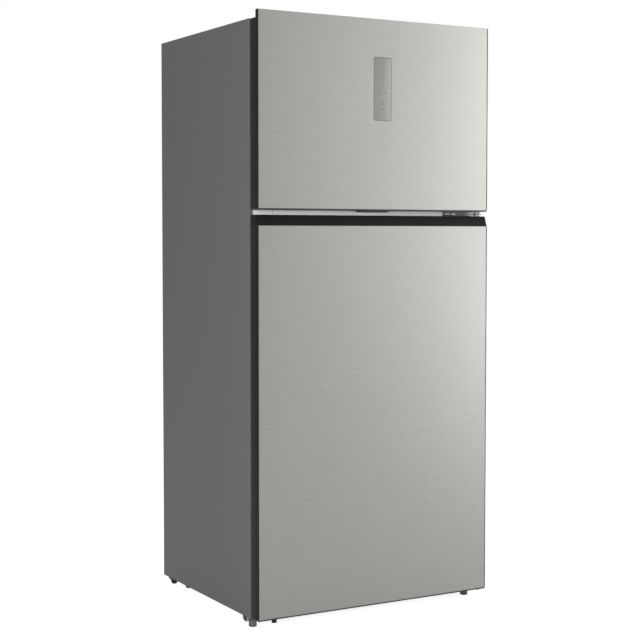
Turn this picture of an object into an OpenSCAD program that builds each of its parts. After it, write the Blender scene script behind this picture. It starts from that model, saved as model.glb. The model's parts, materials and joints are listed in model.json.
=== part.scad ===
// Top freezer refrigerator: a foamed two-compartment cabinet with two
// right-hinged doors, drawers, ice maker, evaporator and machine room.
// The origin is on the floor at the centre of the footprint. +X is to the
// right seen from the front, +Y to the back and +Z up. Millimetres.

/* [Cabinet] */
// Width of the cabinet and of both doors
cabinet_w = 780; // [760:1:800]
// Depth of the cabinet without its doors
cabinet_d = 611; // [600:1:630]
// Height of the cabinet's top above the floor
cabinet_top = 1714; // [1700:1:1740]
// Gap between the floor and the cabinet's underside
floor_gap = 28; // [27:0.5:32]
// Thickness of the outer sheet steel
sheet_t = 1; // [0.8:0.1:1.2]
// Width of the sheet steel's folded front flange
flange_w = 12; // [10:0.5:13]

/* [Compartments] */
// Foamed wall beside the fridge compartment
fridge_wall = 50; // [48:1:54]
// Foamed wall beside the freezer compartment
freezer_wall = 62; // [60:1:66]
// Foamed wall above the freezer compartment
top_wall = 58; // [54:1:62]
// Height of the fridge compartment's floor
fridge_floor = 95; // [93:1:97]
// Height of the fridge compartment's ceiling
fridge_ceiling = 1140; // [1136:1:1143]
// Height of the freezer compartment's floor
freezer_floor = 1212; // [1209:1:1216]
// Thickness of the plastic liners
liner_t = 1.5; // [1.2:0.1:1.8]

/* [Doors] */
// Thickness of a door from its front to the gasket's seat
door_t = 45; // [43:0.5:47]
// Closed gap between a door's back and the cabinet
gasket_gap = 8; // [7.5:0.1:8.5]
// Height of the front sheet's edge at the foot of the fridge door
fridge_door_bottom = 34; // [33:0.5:38]
// Height of the fridge door's front sheet, where the handle cap starts
fridge_skin_top = 1139; // [1136:1:1142]
// Height of the sloped handle cap on the fridge door
handle_cap_h = 30; // [26:1:31]
// Height of the front sheet's lower edge on the freezer door
freezer_door_bottom = 1187; // [1186:1:1190]
// Rise of the freezer door's front above the cabinet's top
upstand_h = 20; // [18:1:24]
// Opening angle of both doors, shown
door_open = 0; // [0:1:120]

/* [Hinges] */
// Distance of the hinge axis from the door's right edge
hinge_inset = 16; // [15:0.5:17]
// Distance of the hinge axis behind the door's front
hinge_setback = 23; // [22.5:0.5:24]
// Diameter of the hinge pins
pin_d = 8; // [7:0.5:8.5]
// Clearance on a hinge pin's diameter
pin_play = 0.4; // [0.3:0.1:0.8]

/* [Feet and rollers] */
// Diameter of the levelling feet
foot_d = 23; // [20:1:26]
// Diameter of the transport rollers
roller_d = 24; // [20:1:25]
// Diameter of the support peg under the left front corner
peg_d = 15; // [12:1:18]

/* [Control panel] */
// Width of the flush control panel
panel_w = 60; // [50:1:70]
// Height of the flush control panel
panel_h = 182; // [150:1:200]
// Offset of the panel's centre to the right of the door's centre
panel_x = 16; // [0:1:30]

/* [Hidden] */
$fn = 48;

// Cabinet planes
half_w = cabinet_w / 2;
overall_d = cabinet_d + door_t + gasket_gap;
front_y = -overall_d / 2;
door_back = front_y + door_t;
cab_front = door_back + gasket_gap;
cab_back = overall_d / 2;
shell_w = half_w - sheet_t;
top_in = cabinet_top - sheet_t;
back_in = cab_back - sheet_t;
floor_in = floor_gap + sheet_t;

// Machine room at the back of the base
room_front = cab_back - 190;
room_top = 262;
room_foam = 50;

// Base frame across the front
rail_d = 40;
rail_h = 32;
rail_t = 2;

// Fridge compartment
fridge_w = half_w - fridge_wall;
fridge_back = cab_back - 55;
step_front = room_front - room_foam;
step_top = room_top + sheet_t + room_foam + 12;
fridge_in_w = fridge_w - liner_t;
shelf_room = fridge_ceiling - step_top - 3;

// Freezer compartment
freezer_w = half_w - freezer_wall;
freezer_back = cab_back - 80;
freezer_ceiling = cabinet_top - top_wall;
freezer_in_w = freezer_w - liner_t;
freezer_h = freezer_ceiling - freezer_floor;
cover_y = freezer_back - 62;
cover_t = 4;

// Rail between the compartments
rail_lo = fridge_ceiling + 10;
rail_hi = freezer_floor - 10;

// Door stack: the freezer door hangs above the gap that shows the rail
door_side_t = 1;
freezer_cap_drop = 4;
freezer_cap_top = freezer_door_bottom + 12;
freezer_door_top = cabinet_top - 2;
freezer_top_cap_h = 12;
upstand_t = 13;
handle_top = fridge_skin_top + handle_cap_h;
handle_lean = 11;
handle_root = fridge_skin_top - 14;
fridge_cap_drop = 4;
fridge_cap_top = fridge_door_bottom + 12;

// Raised ring on each door's liner, which carries the bins
dike_t = 12;
dike_d = 38;
freezer_dike_w = freezer_w - 14;
fridge_dike_w = fridge_w - 14;
bin_gap = 2;
bin_t = 2.5;
bin_d = 100;
bin_back = door_back + bin_gap;
lug_w = 8;
lug_d = 30;
lug_h = 30;

// Closing gasket
gasket_inset = 18;
gasket_w = 20;
gasket_t = gasket_gap - 0.5;

// Hinge axis of both doors
hinge_x = half_w - hinge_inset;
hinge_y = front_y + hinge_setback;
leaf_r = 9;
leaf_t = 3;
pin_len = 14;
pin_grip = pin_len - 3;

// Everything inside stands behind the closed door's bins
inside_front = bin_back + bin_d + 17;

// Shelf heights, measured to the underside of each shelf
crisper_cover_z = fridge_ceiling - shelf_room;
shelf_lower_z = crisper_cover_z + round(shelf_room * 0.2525);
shelf_upper_z = crisper_cover_z + round(shelf_room * 0.4926);
chiller_shelf_z = crisper_cover_z + round(shelf_room * 0.7266);
freezer_shelf_z = freezer_floor + round(freezer_h * 0.4775);
shelf_t = 10;
glass_t = 4;
shelf_play = 2.5;
ledge_w = 9;
ledge_h = 7;
fridge_shelf_back = fridge_back - 27;

// Drawers
drawer_t = 2.5;
drawer_play = 0.3;
crisper_side = 34.5;
crisper_w = fridge_in_w - crisper_side;
crisper_back = step_front - 8;
crisper_z = fridge_floor + liner_t + 6;
crisper_h = crisper_cover_z - crisper_z - 4;
chiller_side = 38.5;
chiller_w = fridge_in_w - chiller_side;
chiller_back = fridge_shelf_back - 40;
chiller_z = chiller_shelf_z + shelf_t + drawer_play;
chiller_h = fridge_ceiling - liner_t - chiller_z - 22;

// Humidity slider in the crisper's front
slider_x = -crisper_w + 124;
slider_z = crisper_z + crisper_h - 22;

// Ice maker, against the freezer's left wall
ice_w = 156;
ice_x = -freezer_in_w + 8 + ice_w / 2;
ice_axis_z = freezer_ceiling - round(freezer_h * 0.185);
ice_front = inside_front + 14;
ice_back = ice_front + 250;
ice_wall = 4;
ice_frame_lo = freezer_shelf_z + shelf_t + round(freezer_h * 0.162);
tray_w = 104;
tray_h = 30;
tray_front = ice_front + 18;
tray_back = ice_back - 18;
journal_d = 10;
journal_play = 0.4;

// Evaporator, fan and heater behind the freezer's rear cover
coil_rows = 4;
coil_pitch = round(freezer_h * 0.1126);
coil_z = freezer_floor + 58;
coil_y = [cover_y + cover_t + 14, cover_y + cover_t + 36];
tube_d = 9;
fin_t = 0.8;
fin_count = 21;
coil_side = 76.5;
fin_span = 2 * (freezer_in_w - coil_side);
fin_pitch = fin_span / (fin_count - 1);
slot_edge = fin_span / 2;
fan_z = freezer_floor + round(freezer_h * 0.743);
fan_y = cover_y + cover_t + 4;
fan_d = 104;
fan_ring_d = 112;
fan_depth = 16;
fan_shaft_d = 4;

// Machine room equipment
tray_z = floor_gap + 3;
comp_x = half_w - 212;
comp_y = room_front + 96;
comp_r = 72;
comp_z = tray_z + 22;
comp_h = 152;
comp_foot = 72;
grommet_d = 22;

// Feet and rollers, each with its axle or stud
stud_d = 10;
stud_play = 0.4;
foot_h = 20;
foot_y = cab_front + 17;
foot_left_x = -half_w + 17;
foot_right_x = half_w - 30;
roller_w = 12;
axle_d = 5;
axle_play = 0.4;
roller_z = roller_d / 2;
roller_x = half_w - 26;
roller_front_y = foot_y + 54;
roller_rear_y = cab_back - 24;
ear_t = 2;
peg_x = -half_w + 86;
peg_z = 6;

// Box between two corner values along each axis
module block(x, y, z)
    translate([x[0], y[0], z[0]]) cube([x[1] - x[0], y[1] - y[0], z[1] - z[0]]);

// Round bar along X, Y or Z between two values
module bar_x(d, x, y, z)
    translate([x[0], y, z]) rotate([0, 90, 0]) cylinder(d = d, h = x[1] - x[0]);
module bar_y(d, x, y, z)
    translate([x, y[0], z]) rotate([-90, 0, 0]) cylinder(d = d, h = y[1] - y[0]);
module bar_z(d, x, y, z)
    translate([x, y, z[0]]) cylinder(d = d, h = z[1] - z[0]);

// Rectangular ring in the XZ plane, w wide, lying between two Y values
module ring_xz(half_x, y, z, w)
    difference() {
        block([-half_x, half_x], y, z);
        block([-half_x + w, half_x - w], [y[0] - 1, y[1] + 1], [z[0] + w, z[1] - w]);
    }

// Open-topped box with walls t thick
module open_box(x, y, z, t)
    difference() {
        block(x, y, z);
        block([x[0] + t, x[1] - t], [y[0] + t, y[1] - t], [z[0] + t, z[1] + 1]);
    }

// Turns a door's pieces about the hinge axis
module on_door()
    translate([hinge_x, hinge_y, 0]) rotate([0, 0, door_open])
        translate([-hinge_x, -hinge_y, 0]) children();

// ---- Cabinet shell ----

module side_panel() {
    block([-half_w, -shell_w], [cab_front, cab_back], [floor_gap, cabinet_top]);
    block([-shell_w, -half_w + flange_w], [cab_front, cab_front + sheet_t], [floor_gap, top_in]);
}

module side_panel_left() color([0.44, 0.44, 0.44]) side_panel();

module side_panel_right() color([0.44, 0.44, 0.44]) mirror([1, 0, 0]) side_panel();

module top_panel() color([0.44, 0.44, 0.44]) {
    flange_x = half_w - flange_w;
    difference() {
        block([-shell_w, shell_w], [cab_front, cab_back], [top_in, cabinet_top]);
        hinge_shanks();
    }
    block([-flange_x, flange_x], [cab_front, cab_front + sheet_t],
          [cabinet_top - flange_w, top_in]);
}

// Back sheet and the stepped sheet that roofs the machine room
module back_panel() color([0.62, 0.62, 0.62]) {
    block([-shell_w, shell_w], [back_in, cab_back], [room_top, top_in]);
    block([-shell_w, shell_w], [room_front, back_in], [room_top, room_top + sheet_t]);
    block([-shell_w, shell_w], [room_front - sheet_t, room_front],
          [floor_gap, room_top + sheet_t]);
}

// Front cross rail with the feet's threads, and the pan behind it
module base_frame() color([0.3, 0.3, 0.3]) {
    flange_x = half_w - flange_w;
    rail_back = cab_front + rail_d;
    difference() {
        union() {
            block([-flange_x, flange_x], [cab_front, cab_front + rail_t],
                  [floor_gap, floor_gap + rail_h]);
            block([-shell_w, shell_w], [cab_front + rail_t, rail_back],
                  [floor_gap, floor_gap + rail_t]);
            block([-shell_w, shell_w], [cab_front + rail_t, rail_back],
                  [floor_gap + rail_h - rail_t, floor_gap + rail_h]);
            block([-shell_w, shell_w], [rail_back, room_front - sheet_t],
                  [floor_gap, floor_in]);
        }
        hinge_shanks();
        for (x = [foot_left_x, foot_right_x])
            bar_z(stud_d + stud_play, x, foot_y, [floor_gap - 1, floor_gap + rail_t + 1]);
    }
}

// ---- Insulation and liners ----

// Outline of the fridge cavity: a box less the step over the machine room
module fridge_cavity(grow)
    difference() {
        block([-fridge_w - grow, fridge_w + grow], [cab_front - 1, fridge_back + grow],
              [fridge_floor - grow, fridge_ceiling + grow]);
        block([-half_w, half_w], [step_front + grow, cab_back],
              [fridge_floor - liner_t - 1, step_top - grow]);
    }

module freezer_cavity(grow)
    block([-freezer_w - grow, freezer_w + grow], [cab_front - 1, freezer_back + grow],
          [freezer_floor - grow, freezer_ceiling + grow]);

module insulation_foam() color([0.93, 0.87, 0.66]) {
    difference() {
        block([-shell_w, shell_w], [cab_front + sheet_t, back_in], [floor_in, top_in]);
        block([-half_w, half_w], [room_front - sheet_t, cab_back],
              [0, room_top + sheet_t]);
        block([-half_w, half_w], [cab_front, cab_front + rail_d],
              [0, floor_gap + rail_h]);
        fridge_cavity(0);
        freezer_cavity(0);
        hinge_shanks();
    }
}

// Ledge along both side walls with its top at the shelf's underside
module ledges(wall_x, shelf_z, back_y)
    for (side = [-1, 1])
        translate([side * (wall_x - ledge_w / 2), 0, 0])
            block([-ledge_w / 2, ledge_w / 2], [inside_front, back_y],
                  [shelf_z - ledge_h, shelf_z]);

// Flange around a compartment's mouth, between the steel flanges
module mouth_flange(z)
    block([-half_w + flange_w, half_w - flange_w], [cab_front, cab_front + sheet_t], z);

module freezer_liner() color("white") {
    difference() {
        union() {
            freezer_cavity(0);
            mouth_flange([rail_hi, cabinet_top - flange_w]);
        }
        freezer_cavity(-liner_t);
        block([-half_w, half_w], [cab_front - 2, cab_front], [rail_hi, cabinet_top]);
    }
    ledges(freezer_in_w, freezer_shelf_z, cover_y - 4);
}

module fridge_liner() color("white") {
    difference() {
        union() {
            fridge_cavity(0);
            mouth_flange([floor_gap + rail_h, rail_lo]);
        }
        fridge_cavity(-liner_t);
        block([-half_w, half_w], [cab_front - 2, cab_front], [0, rail_hi]);
    }
    for (z = [shelf_lower_z, shelf_upper_z, chiller_shelf_z])
        ledges(fridge_in_w, z, fridge_shelf_back);
    ledges(fridge_in_w, crisper_cover_z, step_front);
    for (side = [-1, 1])
        translate([side * (crisper_w - 64), 0, 0])
            block([-6, 6], [inside_front + 4, crisper_back],
                  [fridge_floor + liner_t, crisper_z - drawer_play]);
}

module centre_rail() color("white")
    difference() {
        block([-half_w + flange_w, half_w - flange_w], [cab_front, cab_front + sheet_t],
              [rail_lo, rail_hi]);
        hinge_shanks();
    }

// ---- Machine room ----

module compressor_feet() for (sx = [-1, 1], sy = [-1, 1])
    translate([comp_x + sx * comp_foot, comp_y + sy * comp_foot * 0.8, 0]) children();

module compressor_tray() color([0.66, 0.67, 0.68])
    difference() {
        union() {
            block([-shell_w, shell_w], [room_front, cab_back - 6], [floor_gap, tray_z]);
            block([-shell_w, shell_w], [room_front, room_front + 2], [tray_z, tray_z + 14]);
        }
        compressor_feet() bar_z(8.4, 0, 0, [floor_gap - 1, tray_z + 1]);
    }

// Straight stubs that leave the compressor's side towards -X
pipe_d = 8;
pipe_bend = 16;
pipe_out = [34, 48];
pipe_y = [comp_y - 20, comp_y + 14];
pipe_z = [comp_z + 84, comp_z + 62];

module pipe_stubs() for (i = [0, 1])
    bar_x(pipe_d, [comp_x - comp_r - pipe_out[i], comp_x - comp_r + 6], pipe_y[i], pipe_z[i]);

module compressor() color([0.1, 0.1, 0.1]) {
    round_r = 34;
    difference() {
        translate([comp_x, comp_y, comp_z + 6])
            rotate_extrude($fn = 64)
                union() {
                    square([comp_r - round_r, comp_h]);
                    translate([0, round_r]) square([comp_r, comp_h - 2 * round_r]);
                    for (z = [round_r, comp_h - round_r])
                        translate([comp_r - round_r, z]) circle(r = round_r);
                }
        pipe_stubs();
    }
    difference() {
        block([comp_x - 88, comp_x + 88], [comp_y - 72, comp_y + 72],
              [comp_z + 2, comp_z + 6]);
        compressor_feet() bar_z(15, 0, 0, [comp_z, comp_z + 7]);
    }
}

// Rubber bushes that carry the compressor's feet, each with its bolt
module compressor_grommets() compressor_feet() {
    color([0.16, 0.16, 0.16]) difference() {
        union() {
            bar_z(grommet_d, 0, 0, [tray_z, comp_z + 2]);
            bar_z(15, 0, 0, [comp_z + 2, comp_z + 8]);
        }
        bar_z(8, 0, 0, [tray_z - 1, comp_z + 9]);
    }
    color("silver") {
        bar_z(8, 0, 0, [floor_gap, comp_z + 8]);
        bar_z(16, 0, 0, [comp_z + 8, comp_z + 12]);
    }
}

// Open tray that takes the defrost water, on two feet above the base
module evaporation_tray() color([0.2, 0.2, 0.21]) {
    open_box([220 - half_w, comp_x - 118], [room_front + 30, cab_back - 30], [tray_z + 24, tray_z + 74], 2);
    for (x = [230 - half_w, comp_x - 138])
        block([x, x + 10], [room_front + 40, cab_back - 40], [tray_z, tray_z + 24]);
}

// Louvred sheet that closes the machine room from behind
module machine_room_cover() color([0.55, 0.56, 0.57]) {
    louvre_w = half_w - 90;
    difference() {
        block([-shell_w, shell_w], [cab_back - 5, cab_back - 3], [tray_z, room_top]);
        for (side = [-1, 1], row = [0 : 8])
            translate([side * (half_w - 200), 0, tray_z + 36 + row * 20])
                block([-louvre_w / 2, louvre_w / 2], [cab_back - 6, cab_back - 2], [0, 8]);
        bar_y(30, -shell_w + 22, [cab_back - 6, cab_back - 2], tray_z + 22);
    }
}

// Gland in the cover through which the supply enters
module power_inlet() color([0.12, 0.12, 0.12])
    difference() {
        union() {
            bar_y(30, -shell_w + 22, [cab_back - 14, cab_back - 3], tray_z + 22);
            bar_y(36, -shell_w + 22, [cab_back - 3, cab_back], tray_z + 22);
        }
        bar_y(9, -shell_w + 22, [cab_back - 15, cab_back + 1], tray_z + 22);
    }

// Suction and discharge pipes from the compressor, with the filter dryer
module refrigerant_pipes() color([0.72, 0.45, 0.3]) {
    pipe_stubs();
    for (i = [0, 1])
        translate([comp_x - comp_r - pipe_out[i], pipe_y[i], pipe_z[i] + pipe_bend]) {
            rotate([90, 180, 0])
                rotate_extrude(angle = 90) translate([pipe_bend, 0]) circle(d = pipe_d);
            bar_z(pipe_d, -pipe_bend, 0, [0, room_top - pipe_z[i] - pipe_bend]);
        }
    translate([comp_x + comp_r + 52, comp_y, 0]) {
        bar_z(18, 0, 0, [tray_z + 70, tray_z + 160]);
        bar_z(6, 0, 0, [tray_z + 160, room_top]);
        bar_z(6, 0, 0, [tray_z, tray_z + 70]);
    }
}

// ---- Freezer compartment ----

// Finned coil: plates on straight tubes that are joined by return bends
module evaporator() color("silver") {
    fin_z = [coil_z - 25, coil_z + coil_pitch * (coil_rows - 1) + 25];
    for (i = [0 : fin_count - 1])
        translate([i * fin_pitch - fin_span / 2, 0, 0])
            block([-fin_t / 2, fin_t / 2], [coil_y[0] - 12, coil_y[1] + 12], fin_z);
    for (y = coil_y, row = [0 : coil_rows - 1])
        bar_x(tube_d, [-fin_span / 2 - 12, fin_span / 2 + 12], y, coil_z + row * coil_pitch);
    for (y = coil_y, row = [0 : coil_rows - 2]) {
        side = row % 2 == 0 ? 1 : -1;
        translate([side * (fin_span / 2 + 12), y, coil_z + (row + 0.5) * coil_pitch])
            rotate([90, 0, 0]) rotate([0, 0, side * -90])
                rotate_extrude(angle = 180) translate([coil_pitch / 2, 0]) circle(d = tube_d);
    }
    for (side = [-1, 1])
        block([side * (fin_span / 2 + 6) - 1, side * (fin_span / 2 + 6) + 1],
              [coil_y[0] - 12, freezer_back - liner_t], [fin_z[0], fin_z[1]]);
}

// Rear cover with return slots, outlet slots and the fan's ring
module evaporator_cover() color([0.92, 0.93, 0.94])
    difference() {
        block([-freezer_in_w, freezer_in_w], [cover_y, cover_y + cover_t],
              [freezer_floor + liner_t, freezer_ceiling - liner_t]);
        bar_y(fan_ring_d, 0, [cover_y - 1, cover_y + cover_t + 1], fan_z);
        for (row = [0 : 2])
            block([-slot_edge, slot_edge], [cover_y - 1, cover_y + cover_t + 1],
                  [freezer_floor + 14 + row * 14, freezer_floor + 21 + row * 14]);
        for (side = [-1, 1], row = [0 : 4])
            translate([side * (slot_edge - 60), 0, 0])
                block([-70, 70], [cover_y - 1, cover_y + cover_t + 1],
                      [fan_z - 30 + row * 15, fan_z - 23 + row * 15]);
    }

module fan_motor() color([0.25, 0.25, 0.26]) {
    bar_y(46, 0, [fan_y + fan_depth + 4, freezer_back - liner_t], fan_z);
    bar_y(fan_shaft_d, 0, [fan_y - 2, fan_y + fan_depth + 4], fan_z);
}

// Five-bladed rotor on the motor's shaft
module fan_blade() color([0.15, 0.15, 0.16])
    difference() {
        union() {
            bar_y(30, 0, [fan_y, fan_y + fan_depth], fan_z);
            translate([0, fan_y + fan_depth / 2, fan_z])
                for (turn = [0 : 72 : 359])
                    rotate([0, turn, 0]) rotate([0, 0, 35])
                        block([-9, 9], [-0.8, 0.8], [13, fan_d / 2]);
        }
        bar_y(fan_shaft_d + 0.4, 0, [fan_y - 1, fan_y + fan_depth + 1], fan_z);
    }

module defrost_heater() color([0.8, 0.8, 0.78]) {
    heater_y = (coil_y[0] + coil_y[1]) / 2;
    heater_z = freezer_floor + 18;
    heater_end = slot_edge - 12;
    bar_x(11, [8 - heater_end, heater_end - 8], heater_y, heater_z);
    for (side = [-1, 1])
        block([side * heater_end - 8, side * heater_end + 8], [heater_y - 9, heater_y + 9],
              [freezer_floor + liner_t, heater_z + 9]);
}

// Toughened glass set flush in a plastic front and rear edge
module shelf(half_x, z, back_y) {
    glass_y = [inside_front + 16, back_y - 12];
    glass_z = [z + shelf_t - glass_t, z + shelf_t];
    color([0.75, 0.85, 0.86]) block([-half_x, half_x], glass_y, glass_z);
    color([0.9, 0.91, 0.92])
        difference() {
            union() {
                block([-half_x, half_x], [inside_front, inside_front + 20], [z, z + shelf_t]);
                block([-half_x, half_x], [back_y - 16, back_y], [z, z + shelf_t + 6]);
            }
            block([-half_x - 1, half_x + 1], glass_y, [glass_z[0], glass_z[1] + 0.01]);
        }
}

module freezer_shelf()
    shelf(freezer_in_w - shelf_play, freezer_shelf_z, cover_y - 4);

// Housing that hangs from the ceiling and holds the twist tray
module ice_maker_frame() color([0.9, 0.91, 0.93])
    difference() {
        union() {
            for (side = [-1, 1])
                translate([ice_x + side * (ice_w - ice_wall) / 2, 0, 0])
                    block([-ice_wall / 2, ice_wall / 2], [ice_front, ice_back],
                          [ice_frame_lo, freezer_ceiling - liner_t]);
            block([ice_x - ice_w / 2, ice_x + ice_w / 2], [ice_front, ice_back],
                  [freezer_ceiling - liner_t - ice_wall, freezer_ceiling - liner_t]);
            for (y = [ice_front, ice_back - ice_wall])
                block([ice_x - ice_w / 2, ice_x + ice_w / 2], [y, y + ice_wall],
                      [ice_frame_lo, freezer_ceiling - liner_t]);
        }
        for (y = [ice_front - 1, ice_back - ice_wall - 1])
            bar_y(journal_d + journal_play, ice_x, [y, y + ice_wall + 2], ice_axis_z);
    }

// Tray of ice cells with a journal at each end
module ice_tray() color([0.82, 0.88, 0.95]) {
    cells = [2, 5];
    cell_w = (tray_w - 6) / cells[0];
    cell_l = (tray_back - tray_front - 6) / cells[1];
    difference() {
        block([ice_x - tray_w / 2, ice_x + tray_w / 2], [tray_front, tray_back],
              [ice_axis_z - tray_h / 2, ice_axis_z + tray_h / 2]);
        for (i = [0 : cells[0] - 1], j = [0 : cells[1] - 1])
            translate([ice_x - tray_w / 2 + 3 + i * cell_w, tray_front + 3 + j * cell_l,
                       ice_axis_z - tray_h / 2 + 2])
                block([1.5, cell_w - 1.5], [1.5, cell_l - 1.5], [0, tray_h]);
    }
    bar_y(journal_d, ice_x, [ice_front - 4, tray_front], ice_axis_z);
    bar_y(journal_d, ice_x, [tray_back, ice_back - 1], ice_axis_z);
}

// Knob pressed on the tray's front journal
module ice_tray_knob() color([0.78, 0.82, 0.88]) {
    bar_y(40, ice_x, [ice_front - 8, ice_front - 4], ice_axis_z);
    block([ice_x - 4, ice_x + 4], [ice_front - 20, ice_front - 8],
          [ice_axis_z - 19, ice_axis_z + 19]);
}

module ice_bin() color([0.8, 0.87, 0.93])
    open_box([ice_x - ice_w / 2, ice_x + ice_w / 2], [inside_front + 4, ice_back],
             [freezer_shelf_z + shelf_t + drawer_play, ice_frame_lo - 4], drawer_t);

// ---- Fridge compartment ----

// Rear air duct with an outlet slot above each shelf
module air_duct_cover() color([0.9, 0.91, 0.92])
    difference() {
        block([-105, 105], [fridge_shelf_back + 3, fridge_back - liner_t],
              [shelf_lower_z + 24, fridge_ceiling - 20]);
        for (z = [shelf_lower_z + 120, shelf_upper_z + 120, chiller_shelf_z + 60])
            for (side = [-1, 1])
                translate([side * 52, 0, z])
                    block([-34, 34], [fridge_shelf_back + 2, fridge_shelf_back + 12], [0, 12]);
    }

// Four like shelves: over the crispers, two in the middle, one under the chiller
module fridge_shelves()
    for (z = [crisper_cover_z, shelf_lower_z, shelf_upper_z, chiller_shelf_z])
        shelf(fridge_in_w - shelf_play, z, fridge_shelf_back);

// Drawer with a recessed pull along its front's top edge
module drawer(half_x, y, z, h) color([0.8, 0.88, 0.92])
    difference() {
        open_box([-half_x, half_x], y, [z, z + h], drawer_t);
        block([-70, 70], [y[0] - 1, y[0] + drawer_t + 1], [z + h - 22, z + h + 1]);
    }

module chiller_drawer()
    drawer(chiller_w, [inside_front + 3, chiller_back], chiller_z, chiller_h);

// Crisper with a slot in its front for the humidity slider
module crisper_drawer()
    difference() {
        drawer(crisper_w, [inside_front + 3, crisper_back], crisper_z, crisper_h);
        block([slider_x - 32, slider_x + 32], [inside_front, inside_front + 10],
              [slider_z - 3, slider_z + 3]);
    }

// Slider clipped through the crisper's slot, which uncovers its vents
module humidity_slider() color([0.35, 0.55, 0.75]) {
    face_y = inside_front + 3;
    block([slider_x - 14, slider_x + 14], [face_y - 4, face_y - drawer_play],
          [slider_z - 6, slider_z + 6]);
    block([slider_x - 3, slider_x + 3], [face_y - 7, face_y - 4],
          [slider_z - 6, slider_z + 6]);
    block([slider_x - 14, slider_x + 14], [face_y - drawer_play, face_y + drawer_t + 0.3],
          [slider_z - 2.5, slider_z + 2.5]);
    block([slider_x - 14, slider_x + 14],
          [face_y + drawer_t + drawer_play, face_y + drawer_t + 2.3],
          [slider_z - 6, slider_z + 6]);
}

// ---- Hinges ----

// Screw places, each with the way its shank points: Z down, Y in or Z up
top_screws = [[hinge_x - 82, cab_front + 30], [hinge_x - 34, cab_front + 30],
              [hinge_x - 58, cab_front + 74]];
middle_screws = [hinge_x - 104, hinge_x - 80];
bottom_screws = [hinge_x - 66, hinge_x - 42];
screw_d = 5;
screw_head_d = 10;
screw_head_h = 2.5;
screw_len = 14;
arm_bite = 2;
hinge_mid_z = (handle_top + freezer_door_bottom - freezer_cap_drop) / 2;
bottom_screw_y = cab_front + 26;

module hinge_shanks() {
    for (p = top_screws)
        bar_z(screw_d, p[0], p[1], [cabinet_top - screw_len, cabinet_top + leaf_t]);
    for (x = middle_screws)
        bar_y(screw_d, x, [cab_front - leaf_t, cab_front + screw_len], hinge_mid_z);
    for (x = bottom_screws)
        bar_z(screw_d, x, bottom_screw_y, [floor_gap - leaf_t, floor_gap + 10]);
}

module hinge_screws() color([0.75, 0.75, 0.74]) {
    hinge_shanks();
    for (p = top_screws)
        bar_z(screw_head_d, p[0], p[1],
              [cabinet_top + leaf_t, cabinet_top + leaf_t + screw_head_h]);
    for (x = middle_screws)
        bar_y(screw_head_d, x, [cab_front - leaf_t - screw_head_h, cab_front - leaf_t],
              hinge_mid_z);
    for (x = bottom_screws)
        bar_z(screw_head_d, x, bottom_screw_y,
              [floor_gap - leaf_t - screw_head_h, floor_gap - leaf_t]);
}

// Arm from a straight edge inside its plate to a round end on the hinge axis
module hinge_arm(root_x, root_y, z)
    translate([0, 0, z]) linear_extrude(leaf_t) {
        translate([hinge_x, hinge_y]) circle(r = leaf_r);
        polygon([[root_x[0], root_y + arm_bite], [root_x[0], root_y],
                 [hinge_x - leaf_r * 0.6, hinge_y - leaf_r * 0.8],
                 [hinge_x + leaf_r * 0.9, hinge_y + leaf_r * 0.435],
                 [root_x[1], root_y], [root_x[1], root_y + arm_bite]]);
    }

module top_hinge() color([0.55, 0.55, 0.55])
    difference() {
        union() {
            block([hinge_x - 94, hinge_x - 20], [cab_front + 6, cab_front + 88],
                  [cabinet_top, cabinet_top + leaf_t]);
            hinge_arm([hinge_x - 70, hinge_x - 20], cab_front + 6, cabinet_top);
            bar_z(pin_d, hinge_x, hinge_y, [freezer_door_top - pin_grip,
                                            cabinet_top + leaf_t]);
        }
        hinge_shanks();
    }

// Moulded cover over the top hinge's plate
module top_hinge_cover() color([0.35, 0.35, 0.35])
    difference() {
        block([hinge_x - 100, hinge_x - 7], [hinge_y - 6, cab_front + 94],
              [cabinet_top, cabinet_top + upstand_h - 3]);
        block([hinge_x - 98, hinge_x - 9], [hinge_y - 4, cab_front + 92],
              [cabinet_top - 1, cabinet_top + upstand_h - 5]);
        block([hinge_x - 20, hinge_x], [hinge_y - 7, cab_front + 6],
              [cabinet_top - 1, cabinet_top + leaf_t + 1]);
    }

module middle_hinge() color([0.6, 0.6, 0.6])
    difference() {
        union() {
            block([hinge_x - 112, hinge_x - 8], [cab_front - leaf_t, cab_front],
                  [hinge_mid_z - 6, hinge_mid_z + 6]);
            hinge_arm([hinge_x - 68, hinge_x + 6], cab_front - leaf_t,
                      hinge_mid_z - leaf_t / 2);
            bar_z(pin_d, hinge_x, hinge_y, [handle_top - pin_grip,
                  freezer_door_bottom - freezer_cap_drop + pin_grip]);
        }
        hinge_shanks();
    }

module bottom_hinge() color([0.5, 0.5, 0.5])
    difference() {
        union() {
            block([hinge_x - 80, hinge_x + 12], [cab_front + 2, cab_front + 36],
                  [floor_gap - leaf_t, floor_gap]);
            hinge_arm([hinge_x - 50, hinge_x + 12], cab_front + 2, floor_gap - leaf_t);
            bar_z(pin_d, hinge_x, hinge_y, [floor_gap - leaf_t,
                  fridge_door_bottom - fridge_cap_drop + pin_grip]);
        }
        hinge_shanks();
        bar_z(stud_d + stud_play, foot_right_x, foot_y,
              [floor_gap - leaf_t - 1, floor_gap + 1]);
    }

// ---- Feet and rollers ----

module levelling_foot(x) color([0.45, 0.45, 0.46]) {
    bar_z(foot_d, x, foot_y, [0, foot_h]);
    bar_z(stud_d, x, foot_y, [foot_h, floor_gap + rail_h - rail_t - 2]);
}

module levelling_foot_left() levelling_foot(foot_left_x);

module levelling_foot_right() levelling_foot(foot_right_x);

module support_peg() color([0.1, 0.1, 0.1])
    bar_z(peg_d, peg_x, foot_y, [peg_z, floor_gap]);

module roller_places(y) for (side = [-1, 1]) translate([side * roller_x, y, 0]) children();

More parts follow.
